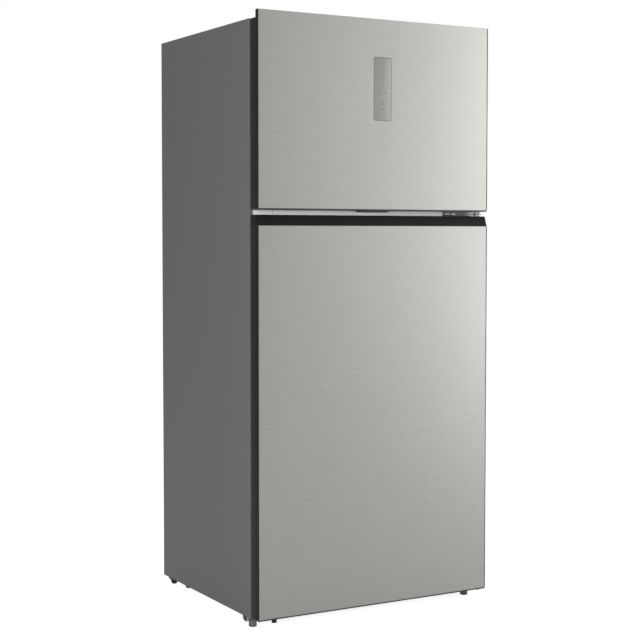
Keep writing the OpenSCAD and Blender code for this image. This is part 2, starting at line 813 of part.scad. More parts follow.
// Pair of ears with a web above and the roller's fixed axle
module roller_bracket() {
    for (side = [-1, 1])
        translate([side * (roller_w / 2 + 1 + ear_t / 2), 0, 0])
            block([-ear_t / 2, ear_t / 2], [-9, 9], [5, floor_gap]);
    bar_x(axle_d, [-roller_w / 2 - 1 - ear_t, roller_w / 2 + 1 + ear_t], 0, roller_z);
}

module roller_brackets() color([0.12, 0.12, 0.12])
    for (y = [roller_front_y, roller_rear_y]) roller_places(y) roller_bracket();

module rollers(y)
    roller_places(y)
        difference() {
            bar_x(roller_d, [-roller_w / 2, roller_w / 2], 0, roller_z);
            bar_x(axle_d + axle_play, [-roller_w, roller_w], 0, roller_z);
        }

module rollers_front() color([0.68, 0.68, 0.68]) rollers(roller_front_y);

module rollers_rear() color([0.1, 0.1, 0.1]) rollers(roller_rear_y);

// ---- Door parts shared by both doors ----

module side_trims(z, back_y)
    for (side = [-1, 1])
        translate([side * (half_w - door_side_t / 2), 0, 0])
            block([-door_side_t / 2, door_side_t / 2], [front_y + sheet_t, back_y], z);

// Blind bush bore for a hinge pin that enters at z, going up or down
module bush_bore(z, up)
    bar_z(pin_d + pin_play, hinge_x, hinge_y,
          up ? [z - 1, z + pin_len - 2] : [z - pin_len + 2, z + 1]);

// Raised ring on a liner; shrunk by skin, it is the foam inside the ring
module dike(half_x, z, skin)
    difference() {
        block([-half_x + skin, half_x - skin],
              [door_back - liner_t, door_back + dike_d - skin], [z[0] + skin, z[1] - skin]);
        block([-half_x + dike_t - skin, half_x - dike_t + skin],
              [door_back - liner_t - 1, door_back + dike_d + 1],
              [z[0] + dike_t - skin, z[1] - dike_t + skin]);
    }

module door_liner(half_x, z, core_z) color("white")
    difference() {
        union() {
            block([-half_w + door_side_t, half_w - door_side_t],
                  [door_back - liner_t, door_back], core_z);
            dike(half_x, z, 0);
        }
        dike(half_x, z, liner_t);
    }

module door_foam(half_x, z, core_z) color([0.93, 0.87, 0.66]) {
    block([-half_w + door_side_t, half_w - door_side_t],
          [front_y + sheet_t, door_back - liner_t], core_z);
    dike(half_x, z, liner_t);
}

module door_gasket(z) color([0.75, 0.75, 0.76])
    ring_xz(half_w - gasket_inset, [door_back, door_back + gasket_t], z, gasket_w);

// Bin hung between the dike's sides by a lug at each end
module door_bin(half_x, z, h) color([0.8, 0.87, 0.9]) {
    open_box([-half_x, half_x], [bin_back, bin_back + bin_d], [z, z + h], bin_t);
    for (side = [-1, 1])
        translate([side * (half_x + lug_w / 2), 0, 0])
            block([-lug_w / 2, lug_w / 2], [bin_back, bin_back + lug_d],
                  [z + h - lug_h, z + h]);
}

// ---- Freezer door ----
freezer_dike_z = [freezer_floor + 10, freezer_ceiling - 10];
freezer_core_z = [freezer_cap_top, freezer_door_top - freezer_top_cap_h];
freezer_bin_w = freezer_dike_w - dike_t - lug_w;
freezer_bin_h = round(freezer_h * 0.189);
panel_z = freezer_door_bottom + (cabinet_top - freezer_door_bottom) * 0.658;
panel_depth = 12;
panel_t = 3;

module panel_block(play, y)
    block([panel_x - panel_w / 2 + play, panel_x + panel_w / 2 - play], y,
          [panel_z - panel_h / 2 + play, panel_z + panel_h / 2 - play]);

module freezer_door_skin() on_door() color([0.76, 0.75, 0.73])
    difference() {
        block([-half_w, half_w], [front_y, front_y + sheet_t],
              [freezer_door_bottom, cabinet_top + upstand_h]);
        panel_block(0, [front_y - 1, front_y + sheet_t + 1]);
    }

module freezer_door_side_trims() on_door() color([0.21, 0.21, 0.21]) {
    side_trims([freezer_door_bottom, freezer_door_top], door_back);
    side_trims([freezer_door_top, cabinet_top + upstand_h], front_y + upstand_t);
}

module freezer_door_top_cap() on_door() color([0.4, 0.4, 0.4])
    difference() {
        union() {
            block([-half_w + door_side_t, half_w - door_side_t],
                  [front_y + sheet_t, door_back], [freezer_core_z[1], freezer_door_top]);
            block([-half_w + door_side_t, half_w - door_side_t],
                  [front_y + sheet_t, front_y + upstand_t],
                  [freezer_door_top, cabinet_top + upstand_h]);
        }
        bar_z(pin_d + pin_play, hinge_x, hinge_y,
              [freezer_core_z[1] - 1, freezer_door_top + 1]);
    }

grip_w = 104;
grip_y = [front_y + 26, front_y + 38];

module freezer_door_bottom_cap() on_door() color([0.12, 0.12, 0.12])
    difference() {
        block([-half_w + door_side_t, half_w - door_side_t], [front_y + sheet_t, door_back],
              [freezer_door_bottom - freezer_cap_drop, freezer_cap_top]);
        bush_bore(freezer_door_bottom - freezer_cap_drop, true);
        block([-grip_w / 2, grip_w / 2], grip_y,
              [freezer_door_bottom - freezer_cap_drop - 1, freezer_cap_top - 2]);
    }

// Lip let into the bottom cap for the fingers
module freezer_door_grip() on_door() color([0.06, 0.06, 0.06])
    block([-grip_w / 2, grip_w / 2], grip_y,
          [freezer_door_bottom - freezer_cap_drop - 4, freezer_cap_top - 2]);

module freezer_door_foam() on_door()
    difference() {
        door_foam(freezer_dike_w, freezer_dike_z, freezer_core_z);
        panel_block(0, [front_y, front_y + panel_depth]);
    }

module freezer_door_liner() on_door()
    door_liner(freezer_dike_w, freezer_dike_z, freezer_core_z);

module freezer_door_gasket() on_door()
    door_gasket([freezer_door_bottom + 5, freezer_core_z[1] + 2]);

module freezer_door_bins() on_door() {
    door_bin(freezer_bin_w, freezer_dike_z[0] + dike_t + bin_gap, freezer_bin_h);
    door_bin(freezer_bin_w, freezer_dike_z[0] + dike_t + round(freezer_h * 0.428),
             freezer_bin_h);
}

// Flush touch panel on the circuit board's housing
module control_panel() on_door() {
    color([0.62, 0.62, 0.61]) panel_block(0.15, [front_y, front_y + panel_t]);
    color([0.2, 0.2, 0.2])
        panel_block(4, [front_y + panel_t, front_y + panel_depth]);
}

// ---- Fridge door ----
fridge_dike_z = [fridge_floor + 12, fridge_ceiling - 18];
fridge_core_z = [fridge_cap_top, handle_root];
fridge_bin_w = fridge_dike_w - dike_t - lug_w;
fridge_bin_room = fridge_dike_z[1] - fridge_dike_z[0] - 2 * dike_t;
fridge_bins = [[0, 130], [0.3007, 90], [0.5227, 90], [0.7447, 90]];

module fridge_door_skin() on_door() color([0.76, 0.75, 0.73])
    block([-half_w, half_w], [front_y, front_y + sheet_t],
          [fridge_door_bottom, fridge_skin_top]);

module fridge_door_side_trims() on_door() color([0.21, 0.21, 0.21])
    side_trims([fridge_door_bottom, fridge_skin_top], door_back);

// Black top cap: its front leans back over a groove for the fingers
module fridge_door_handle_cap() on_door() color([0.1, 0.1, 0.1])
    difference() {
        union() {
            block([-half_w + door_side_t, half_w - door_side_t],
                  [front_y + sheet_t, door_back], [handle_root, fridge_skin_top]);
            translate([-half_w, 0, 0]) rotate([90, 0, 90]) linear_extrude(cabinet_w)
                polygon([[front_y + 0.5, fridge_skin_top], [door_back, fridge_skin_top],
                         [door_back, handle_top], [front_y + handle_lean, handle_top]]);
        }
        bush_bore(handle_top, false);
        block([-half_w + 14, hinge_x - 40], [front_y + 20, front_y + 36],
              [handle_top - 20, handle_top + 1]);
    }

module fridge_door_bottom_cap() on_door() color([0.12, 0.12, 0.12])
    difference() {
        block([-half_w + door_side_t, half_w - door_side_t], [front_y + sheet_t, door_back],
              [fridge_door_bottom - fridge_cap_drop, fridge_cap_top]);
        bush_bore(fridge_door_bottom - fridge_cap_drop, true);
    }

module fridge_door_foam() on_door()
    door_foam(fridge_dike_w, fridge_dike_z, fridge_core_z);

module fridge_door_liner() on_door()
    door_liner(fridge_dike_w, fridge_dike_z, fridge_core_z);

module fridge_door_gasket() on_door()
    door_gasket([fridge_cap_top + 16, handle_root + 36]);

module fridge_door_bins() on_door()
    for (bin = fridge_bins)
        door_bin(fridge_bin_w, fridge_dike_z[0] + dike_t + bin_gap
                 + round(fridge_bin_room * bin[0]), bin[1]);

side_panel_left();
side_panel_right();
top_panel();
back_panel();
base_frame();
insulation_foam();
freezer_liner();
fridge_liner();
centre_rail();
compressor_tray();
compressor();
compressor_grommets();
evaporation_tray();
machine_room_cover();
power_inlet();
refrigerant_pipes();
evaporator();
evaporator_cover();
fan_motor();
fan_blade();
defrost_heater();
freezer_shelf();
ice_maker_frame();
ice_tray();
ice_tray_knob();
ice_bin();
air_duct_cover();
fridge_shelves();
chiller_drawer();
crisper_drawer();
humidity_slider();
top_hinge();
top_hinge_cover();
middle_hinge();
bottom_hinge();
hinge_screws();
levelling_foot_left();
levelling_foot_right();
support_peg();
roller_brackets();
rollers_front();
rollers_rear();
freezer_door_skin();
freezer_door_side_trims();
freezer_door_top_cap();
freezer_door_bottom_cap();
freezer_door_grip();
freezer_door_foam();
freezer_door_liner();
freezer_door_gasket();
freezer_door_bins();
control_panel();
fridge_door_skin();
fridge_door_side_trims();
fridge_door_handle_cap();
fridge_door_bottom_cap();
fridge_door_foam();
fridge_door_liner();
fridge_door_gasket();
fridge_door_bins();
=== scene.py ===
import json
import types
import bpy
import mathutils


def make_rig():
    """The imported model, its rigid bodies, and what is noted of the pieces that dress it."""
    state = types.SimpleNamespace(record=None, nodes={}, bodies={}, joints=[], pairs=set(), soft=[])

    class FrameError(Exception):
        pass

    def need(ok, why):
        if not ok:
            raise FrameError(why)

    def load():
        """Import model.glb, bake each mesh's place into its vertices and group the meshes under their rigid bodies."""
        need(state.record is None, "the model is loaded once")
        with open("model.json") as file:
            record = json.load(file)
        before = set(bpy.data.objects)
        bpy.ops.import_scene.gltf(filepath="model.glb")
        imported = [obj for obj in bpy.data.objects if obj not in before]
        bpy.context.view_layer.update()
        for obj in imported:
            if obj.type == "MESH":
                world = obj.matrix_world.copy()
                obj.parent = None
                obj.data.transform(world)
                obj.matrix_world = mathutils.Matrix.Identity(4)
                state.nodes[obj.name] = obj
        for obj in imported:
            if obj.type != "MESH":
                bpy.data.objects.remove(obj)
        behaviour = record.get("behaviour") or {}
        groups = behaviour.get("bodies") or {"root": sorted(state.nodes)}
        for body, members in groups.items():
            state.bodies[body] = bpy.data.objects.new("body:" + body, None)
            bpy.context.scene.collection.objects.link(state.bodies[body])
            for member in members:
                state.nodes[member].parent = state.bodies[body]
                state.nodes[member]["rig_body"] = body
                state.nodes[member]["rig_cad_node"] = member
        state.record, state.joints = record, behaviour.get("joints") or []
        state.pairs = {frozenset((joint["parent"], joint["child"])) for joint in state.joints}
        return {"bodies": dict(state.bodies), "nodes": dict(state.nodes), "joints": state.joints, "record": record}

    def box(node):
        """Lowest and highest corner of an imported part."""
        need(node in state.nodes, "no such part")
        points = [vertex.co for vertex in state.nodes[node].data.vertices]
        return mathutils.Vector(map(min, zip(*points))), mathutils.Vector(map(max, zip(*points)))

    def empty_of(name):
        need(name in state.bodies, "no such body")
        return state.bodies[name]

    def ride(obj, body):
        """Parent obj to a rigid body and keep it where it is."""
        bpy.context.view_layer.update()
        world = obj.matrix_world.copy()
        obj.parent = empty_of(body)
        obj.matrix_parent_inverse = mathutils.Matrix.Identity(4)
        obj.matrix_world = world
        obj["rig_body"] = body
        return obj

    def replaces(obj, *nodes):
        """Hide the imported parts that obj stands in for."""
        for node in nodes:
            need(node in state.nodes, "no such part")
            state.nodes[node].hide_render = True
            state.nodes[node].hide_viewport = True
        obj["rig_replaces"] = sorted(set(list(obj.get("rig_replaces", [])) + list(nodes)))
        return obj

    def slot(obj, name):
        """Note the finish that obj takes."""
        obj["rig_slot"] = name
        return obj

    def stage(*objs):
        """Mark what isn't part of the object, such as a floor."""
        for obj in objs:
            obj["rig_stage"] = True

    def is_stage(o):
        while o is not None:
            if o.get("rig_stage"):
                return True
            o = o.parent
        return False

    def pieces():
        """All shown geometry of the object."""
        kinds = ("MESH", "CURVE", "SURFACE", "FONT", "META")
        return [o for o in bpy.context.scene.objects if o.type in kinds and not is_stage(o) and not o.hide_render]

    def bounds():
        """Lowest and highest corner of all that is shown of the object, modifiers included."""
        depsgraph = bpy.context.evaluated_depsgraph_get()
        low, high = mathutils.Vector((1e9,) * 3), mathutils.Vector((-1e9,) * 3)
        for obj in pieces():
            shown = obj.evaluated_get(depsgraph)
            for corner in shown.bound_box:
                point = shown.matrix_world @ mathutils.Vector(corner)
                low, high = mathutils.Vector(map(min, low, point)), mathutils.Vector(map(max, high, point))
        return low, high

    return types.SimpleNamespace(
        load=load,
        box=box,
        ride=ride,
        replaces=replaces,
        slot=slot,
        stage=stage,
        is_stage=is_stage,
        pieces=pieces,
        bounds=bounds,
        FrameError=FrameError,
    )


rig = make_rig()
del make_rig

bl_info = {
    "name": "Top Freezer Refrigerator",
    "version": (1, 0, 0),
    "blender": (4, 5, 0),
    "location": "View3D > Sidebar > Refrigerator",
    "description": "Dresses the frame of a two-door refrigerator with its finished pieces",
    "category": "Object",
}

import json
import math
import sys

import bmesh
import bpy
from bpy.props import FloatProperty, FloatVectorProperty, IntProperty, PointerProperty
from mathutils import Euler, Matrix, Vector

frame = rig.load()
CAD_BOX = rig.bounds()

# Lengths below are in millimetres; build() turns them into the scene's metres
MM = 0.001


# ---- Places read from the frame ----

def corners(*nodes):
    """Lowest and highest corner of one or more nodes at rest."""
    boxes = [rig.box(node) for node in nodes]
    low = Vector([min(b[0][i] for b in boxes) / MM for i in range(3)])
    high = Vector([max(b[1][i] for b in boxes) / MM for i in range(3)])
    return low, high


def middle(node):
    """Centre of a node's box at rest."""
    low, high = corners(node)
    return (low + high) / 2


JOINTS = {joint["name"]: joint for joint in frame["joints"]}


def axis_point(joint):
    """A point on a joint's axis."""
    return Vector(JOINTS[joint]["pos_m"]) / MM


SIDE_LO, SIDE_HI = corners("side_panel_left")
UPPER_LO, UPPER_HI = corners("freezer_door_skin")
LOWER_LO, LOWER_HI = corners("fridge_door_skin")
CAP_LO, CAP_HI = corners("fridge_door_handle_cap")
HALF_W = UPPER_HI.x
FRONT_Y = UPPER_LO.y
DOOR_BACK = corners("freezer_door_side_trims")[1].y
CAB_FRONT = SIDE_LO.y
CAB_BACK = SIDE_HI.y
CAB_TOP = SIDE_HI.z
HINGE = axis_point("fridge_door_hinge")

# Outer faces of the liners' floors and ceilings
FREEZER_FLOOR = 1212
FREEZER_CEILING = CAB_TOP - 58
FRIDGE_FLOOR = 95
FRIDGE_CEILING = 1140

FLANGE = 12  # width of the cabinet's folded front edge
SHEET = 0.9  # thickness of the cabinet's steel
LINER_WALL = 1.5
LEAF = 3  # thickness of a hinge leaf
PIN_BORE = 4.2  # radius of the doors' holes for the hinge pins
DOOR_STRIP = 1.8  # width of the dark strips on the doors' edges


# ---- Sizes and colours that a user may change ----

class RefrigeratorSizes(bpy.types.PropertyGroup):
    """Sizes of the finish that the frame doesn't fix"""

    sheet_radius: FloatProperty(
        name="Sheet Radius", description="Bend radius of the folded front sheets",
        default=2.2 * MM, min=0.2 * MM, max=5 * MM, unit="LENGTH")
    cavity_radius: FloatProperty(
        name="Cavity Radius", description="Corner radius inside the compartments",
        default=22 * MM, min=5 * MM, max=40 * MM, unit="LENGTH")
    bin_radius: FloatProperty(
        name="Bin Radius", description="Corner radius of bins and drawers",
        default=14 * MM, min=3 * MM, max=30 * MM, unit="LENGTH")
    panel_radius: FloatProperty(
        name="Panel Radius", description="Corner radius of the touch panel",
        default=4.5 * MM, min=0.5 * MM, max=8 * MM, unit="LENGTH")
    round_steps: IntProperty(
        name="Round Steps", description="Facets in each rounded corner",
        default=5, min=2, max=12)


class RefrigeratorColours(bpy.types.PropertyGroup):
    """Base colours of the main finishes"""

    door: FloatVectorProperty(
        name="Door", description="Brushed sheet on both doors", subtype="COLOR",
        default=(0.392, 0.383, 0.366), min=0, max=1)
    cabinet: FloatVectorProperty(
        name="Cabinet", description="Paint on the cabinet's sides and top", subtype="COLOR",
        default=(0.13, 0.13, 0.131), min=0, max=1)
    door_side: FloatVectorProperty(
        name="Door Side", description="Dark edge of both doors", subtype="COLOR",
        default=(0.012, 0.012, 0.012), min=0, max=1)
    handle: FloatVectorProperty(
        name="Handle", description="Black plastic of the handle cap", subtype="COLOR",
        default=(0.008, 0.008, 0.008), min=0, max=1)
    liner: FloatVectorProperty(
        name="Liner", description="White plastic of the liners", subtype="COLOR",
        default=(0.78, 0.79, 0.8), min=0, max=1)
    panel: FloatVectorProperty(
        name="Panel", description="Grey of the touch panel", subtype="COLOR",
        default=(0.25, 0.247, 0.24), min=0, max=1)


def sizes():
    """The scene's sizes of this part."""
    return bpy.context.scene.refrigerator_sizes


def size(name):
    """One of the sizes above, in millimetres."""
    return getattr(sizes(), name) / MM


def colours():
    """The scene's colours of this part."""
    return bpy.context.scene.refrigerator_colours


# ---- Mesh helpers ----

SQUARE = 60.0  # degrees between two faces, passed by square edges and not by rounded ones
MERGE = 0.001  # vertices closer than this become one


def sharp_edges(bm, angle, test=None):
    """Edges where two faces meet at more than an angle in degrees."""
    limit = math.radians(angle)
    return [edge for edge in bm.edges
            if len(edge.link_faces) == 2 and edge.calc_face_angle() > limit
            and (test is None or test(edge))]


def soften(bm, radius, steps=2, angle=40.0, test=None):
    """Rounds the sharp edges that pass a test."""
    found = sharp_edges(bm, angle, test)
    if found and radius > 0:
        bmesh.ops.bevel(bm, geom=found, offset=radius, offset_type="OFFSET",
                        segments=steps, profile=0.5, affect="EDGES", material=-1,
                        clamp_overlap=True)
    return bm


def along(axis):
    """Test for edges that run along one axis."""
    index = "xyz".index(axis)

    def test(edge):
        run = edge.verts[1].co - edge.verts[0].co
        return run.length > 0 and abs(run[index]) / run.length > 0.99
    return test


def box(low, high, corner=0.0, axis="z", edge=0.0):
    """Box between two corners, rounded along one axis and softened elsewhere."""
    bm = bmesh.new()
    low, high = Vector(low), Vector(high)
    place = Matrix.Translation((low + high) / 2) @ Matrix.Diagonal((*(high - low), 1.0))
    bmesh.ops.create_cube(bm, size=1.0, matrix=place)
    if corner:
        soften(bm, corner, sizes().round_steps, test=along(axis))
    return soften(bm, edge, 2, SQUARE)


def end_face(bm, axis, sign):
    """The largest face that looks along an axis, or against it."""
    index = "xyz".index(axis)
    return max((f for f in bm.faces if f.normal[index] * sign > 0.9),
               key=lambda f: f.calc_area())


def shift_new(bm, made, step):
    """Moves the vertices that an extrusion made."""
    verts = [item for item in made["geom"] if isinstance(item, bmesh.types.BMVert)]
    bmesh.ops.translate(bm, verts=verts, vec=step)


def sink(bm, face, step):
    """Moves a face by a step, with new walls between it and where it was."""
    shift_new(bm, bmesh.ops.extrude_face_region(bm, geom=[face]), step)
    bmesh.ops.delete(bm, geom=[face], context="FACES_ONLY")


def inset(bm, face, width):
    """Insets one face evenly; the face itself stays inside the new rim."""
    bmesh.ops.inset_region(bm, faces=[face], thickness=width, use_even_offset=True)
    return face


def tray(low, high, wall, corner, edge=0.6):
    """Open-topped box with even walls and rounded upright corners."""
    bm = box(low, high, corner, "z")
    mouth = inset(bm, end_face(bm, "z", 1), wall)
    sink(bm, mouth, (0, 0, low[2] + wall - high[2]))
    return soften(bm, edge, 2, SQUARE)


def ring(low, high, width, corner, edge=0.0):
    """Rectangular frame in the XZ plane with rounded corners."""
    bm = box(low, high, corner, "y")
    ends = [end_face(bm, "y", 1), end_face(bm, "y", -1)]
    bmesh.ops.inset_individual(bm, faces=ends, thickness=width, use_even_offset=True)
    bmesh.ops.delete(bm, geom=ends, context="FACES_ONLY")
    bmesh.ops.bridge_loops(bm, edges=[e for e in bm.edges if e.is_boundary])
    bmesh.ops.recalc_face_normals(bm, faces=bm.faces)
    return soften(bm, edge, 2, SQUARE)


def rod(start, end, radius, steps=32, edge=0.0):
    """Round bar from one point to another."""
    bm = bmesh.new()
    start, end = Vector(start), Vector(end)
    run = end - start
    turn = run.to_track_quat("Z", "Y").to_matrix().to_4x4()
    place = Matrix.Translation((start + end) / 2) @ turn
    bmesh.ops.create_cone(bm, cap_ends=True, segments=steps, radius1=radius,
                          radius2=radius, depth=run.length, matrix=place)
    return soften(bm, edge, 2, SQUARE)


def bar(axis, place, start, end, radius, steps=32, edge=0.0):
    """Round bar along one axis; place holds the other two coordinates."""
    ends = [list(place), list(place)]
    for point, at in zip(ends, (start, end)):
        point.insert("xyz".index(axis), at)
    return rod(*ends, radius, steps, edge)


def lathe(profile, centre, axis="z", steps=40):
    """Turned solid: profile holds (radius, height) pairs along the axis."""
    bm = bmesh.new()
    verts = [bm.verts.new((radius, 0, height)) for radius, height in profile]
    edges = [bm.edges.new(pair) for pair in zip(verts, verts[1:])]
    bmesh.ops.spin(bm, geom=verts + edges, cent=(0, 0, 0), axis=(0, 0, 1),
                   angle=math.tau, steps=steps, use_merge=True)
    bmesh.ops.remove_doubles(bm, verts=bm.verts, dist=MERGE)
    bmesh.ops.recalc_face_normals(bm, faces=bm.faces)
    turn = {"z": Matrix(), "x": Matrix.Rotation(math.pi / 2, 4, "Y"),
            "y": Matrix.Rotation(-math.pi / 2, 4, "X")}[axis]
    bmesh.ops.transform(bm, matrix=Matrix.Translation(centre) @ turn, verts=bm.verts)
    return bm


def plate_of(outline, step):
    """Flat plate of the outline's points, as thick as the step."""
    bm = bmesh.new()
    face = bm.faces.new([bm.verts.new(point) for point in outline])
    shift_new(bm, bmesh.ops.extrude_face_region(bm, geom=[face]), step)
    bmesh.ops.recalc_face_normals(bm, faces=bm.faces)
    return bm


def folded(points, rise, thickness, outward, radius=0.0, steps=4):
    """Sheet folded along a path of (x, y) points, rising from one Z to another.

    The path is the outer face, which looks outward; the sheet lies behind it.
    """
    bm = bmesh.new()
    verts = [bm.verts.new((x, y, rise[0])) for x, y in points]
    for pair in zip(verts, verts[1:]):
        bm.edges.new(pair)
    if radius:
        bmesh.ops.bevel(bm, geom=verts[1:-1], offset=radius, offset_type="OFFSET",
                        segments=steps, profile=0.5, affect="VERTICES", material=-1)
    made = bmesh.ops.extrude_edge_only(bm, edges=list(bm.edges))
    shift_new(bm, made, (0, 0, rise[1] - rise[0]))
    bmesh.ops.recalc_face_normals(bm, faces=bm.faces)
    largest = max(bm.faces, key=lambda f: f.calc_area())
    if largest.normal.dot(Vector(outward)) < 0:
        bmesh.ops.reverse_faces(bm, faces=bm.faces)
    bmesh.ops.solidify(bm, geom=bm.faces[:], thickness=thickness)
    return bm


def turned(bm, angle, axis, centre=(0, 0, 0)):
    """Turns a mesh by an angle in degrees about an axis through a point."""
    bmesh.ops.rotate(bm, verts=bm.verts, cent=centre,
                     matrix=Matrix.Rotation(math.radians(angle), 3, axis))
    return bm


def moved(bm, step):
    """Moves a mesh by a step."""
    bmesh.ops.translate(bm, verts=bm.verts, vec=step)
    return bm


def mirrored(bm):
    """The same mesh on the other side of the middle plane."""
    bmesh.ops.scale(bm, verts=bm.verts, vec=(-1, 1, 1))
    bmesh.ops.reverse_faces(bm, faces=bm.faces)
    return bm


def joined(*parts):
    """One mesh that holds several, which are used up."""
    whole = bmesh.new()
    for part in parts:
        loose = bpy.data.meshes.new("loose")
        part.to_mesh(loose)
        part.free()
        whole.from_mesh(loose)
        bpy.data.meshes.remove(loose)
    return whole


def combined(operation, bm, others):
    """Cuts closed meshes out of one, or fuses them with it."""
    made = [placed("blank", part) for part in (bm, *others)]
    for other in made[1:]:
        step = made[0].modifiers.new("step", "BOOLEAN")
        step.operation = operation
        step.solver = "EXACT"
        step.object = other
    graph = bpy.context.evaluated_depsgraph_get()
    result = bmesh.new()
    result.from_mesh(made[0].evaluated_get(graph).to_mesh())
    for blank in made:
        mesh = blank.data
        bpy.data.objects.remove(blank)
        bpy.data.meshes.remove(mesh)
    bmesh.ops.remove_doubles(result, verts=result.verts, dist=MERGE)
    bmesh.ops.dissolve_limit(result, angle_limit=0.001, verts=result.verts,
                             edges=result.edges, delimit={"NORMAL"})
    result.normal_update()
    return result


def carved(bm, *others):
    """A mesh without what lies inside the others."""
    return combined("DIFFERENCE", bm, others)


def fused(bm, *others):
    """Closed meshes made one."""
    return combined("UNION", bm, others)


def build(name, slot, parts, *replaced, body="cabinet", smooth=35.0):
    """Joins meshes, listed by finish, into one piece that rides on a body."""
    meshes = []
    for index, listed in enumerate(parts.values()):
        for bm in listed if isinstance(listed, list) else [listed]:
            for face in bm.faces:
                face.material_index = index
                face.smooth = True
            meshes.append(bm)
    whole = joined(*meshes)
    bmesh.ops.scale(whole, vec=(MM, MM, MM), verts=whole.verts)
    piece = placed(name, whole, *(material(finish) for finish in parts))
    piece.data.set_sharp_from_angle(angle=math.radians(smooth))
    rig.ride(piece, body)
    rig.slot(piece, slot)
    if replaced:
        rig.replaces(piece, *replaced)


def placed(name, bm, *materials):
    """Object in the scene that holds a mesh, which is used up."""
    mesh = bpy.data.meshes.new(name)
    bm.to_mesh(mesh)
    bm.free()
    for made in materials:
        mesh.materials.append(made)
    piece = bpy.data.objects.new(name, mesh)
    bpy.context.scene.collection.objects.link(piece)
    return piece


def dress(node, finish):
    """Gives a CAD node's own mesh a finished material."""
    mesh = frame["nodes"][node].data
    mesh.materials.clear()
    mesh.materials.append(material(finish))


# ---- Shader helpers and effects ----

def join(tree, socket, value):
    """Links a socket to another, or sets its own value."""
    if isinstance(value, bpy.types.NodeSocket):
        tree.links.new(value, socket)
    else:
        socket.default_value = value


def add(tree, kind, inputs=None, **settings):
    """Adds a shader node with its settings and inputs."""
    made = tree.nodes.new(kind)
    for key, value in settings.items():
        setattr(made, key, value)
    for key, value in (inputs or {}).items():
        join(tree, made.inputs[key], value)
    return made


def maths(tree, operation, *values):
    """A Math node's output for one operation."""
    made = add(tree, "ShaderNodeMath", operation=operation)
    for index, value in enumerate(values):
        join(tree, made.inputs[index], value)
    return made.outputs[0]


def effect(name, inputs, outputs, fill):
    """A node group with named sockets, made once and shared by the materials."""
    group = bpy.data.node_groups.get(name)
    if group:
        return group
    group = bpy.data.node_groups.new(name, "ShaderNodeTree")
    for label, (kind, value) in inputs.items():
        socket = group.interface.new_socket(name=label, in_out="INPUT", socket_type=kind)
        socket.default_value = value
    for label, kind in outputs.items():
        group.interface.new_socket(name=label, in_out="OUTPUT", socket_type=kind)
    entry = group.nodes.new("NodeGroupInput")
    leave = group.nodes.new("NodeGroupOutput")
    for label, socket in fill(group, entry.outputs).items():
        group.links.new(socket, leave.inputs[label])
    return group


FLOAT, COLOUR, VECTOR = "NodeSocketFloat", "NodeSocketColor", "NodeSocketVector"


def grain_nodes(tree, given):
    """Broad tone drift, fine grain, and a bump of the fine grain."""
    place = add(tree, "ShaderNodeTexCoord").outputs["Object"]
    spread = add(tree, "ShaderNodeVectorMath", {0: place, 1: given["Stretch"]},
                 operation="MULTIPLY").outputs[0]
    fine = add(tree, "ShaderNodeTexNoise",
               {"Vector": spread, "Scale": given["Scale"], "Detail": 5.0,
                "Roughness": 0.62}).outputs["Fac"]
    broad = add(tree, "ShaderNodeTexNoise",
                {"Vector": place, "Scale": 4.5, "Detail": 3.0}).outputs["Fac"]
    fine_off = maths(tree, "SUBTRACT", fine, 0.5)
    broad_off = maths(tree, "SUBTRACT", broad, 0.5)
    fine_tone = maths(tree, "MULTIPLY", fine_off, given["Tone"])
    broad_tone = maths(tree, "MULTIPLY", broad_off, given["Drift"])
    tone = maths(tree, "ADD", maths(tree, "ADD", fine_tone, broad_tone), 1.0)
    colour = add(tree, "ShaderNodeVectorMath", {0: given["Colour"], 3: tone},
                 operation="SCALE").outputs[0]
    shift = maths(tree, "MULTIPLY", maths(tree, "ADD", fine_off, broad_off), given["Spread"])
    rough = maths(tree, "ADD", given["Roughness"], shift)
    bump = add(tree, "ShaderNodeBump", {"Height": fine, "Distance": given["Height"]})
    return {"Colour": colour, "Roughness": rough, "Normal": bump.outputs["Normal"]}


def grain():
    """The effect that every finish starts from."""
    return effect("surface_grain", {
        "Colour": (COLOUR, (0.5, 0.5, 0.5, 1)), "Roughness": (FLOAT, 0.4),
        "Tone": (FLOAT, 0.05), "Drift": (FLOAT, 0.03), "Spread": (FLOAT, 0.1),
        "Scale": (FLOAT, 400.0), "Stretch": (VECTOR, (1, 1, 1)), "Height": (FLOAT, 1e-5)},
        {"Colour": COLOUR, "Roughness": FLOAT, "Normal": VECTOR}, grain_nodes)


def streak_nodes(tree, given):
    """Short bright and dark strokes of different lengths along one direction."""
    place = add(tree, "ShaderNodeTexCoord").outputs["Object"]
    total = None
    for share, (length, pitch) in ((0.45, (0.03, 0.0022)), (0.35, (0.07, 0.0011)),
                                   (0.2, (0.3, 0.005))):
        spread = add(tree, "ShaderNodeVectorMath",
                     {0: place, 1: (1 / length, 1 / length, 1 / pitch)},
                     operation="MULTIPLY").outputs[0]
        layer = add(tree, "ShaderNodeTexNoise",
                    {"Vector": spread, "Scale": 1.0, "Detail": 2.0}).outputs["Fac"]
        part = maths(tree, "MULTIPLY", layer, share)
        total = part if total is None else maths(tree, "ADD", total, part)
    offset = maths(tree, "SUBTRACT", total, 0.5)
    tone = maths(tree, "ADD", maths(tree, "MULTIPLY", offset, given["Tone"]), 1.0)
    colour = add(tree, "ShaderNodeVectorMath", {0: given["Colour"], 3: tone},
                 operation="SCALE").outputs[0]
    rough = maths(tree, "ADD", given["Roughness"],
                  maths(tree, "MULTIPLY", offset, given["Spread"]))
    bump = add(tree, "ShaderNodeBump", {"Height": total, "Distance": given["Height"],
                                        "Normal": given["Normal"]})
    return {"Colour": colour, "Roughness": rough, "Normal": bump.outputs["Normal"]}


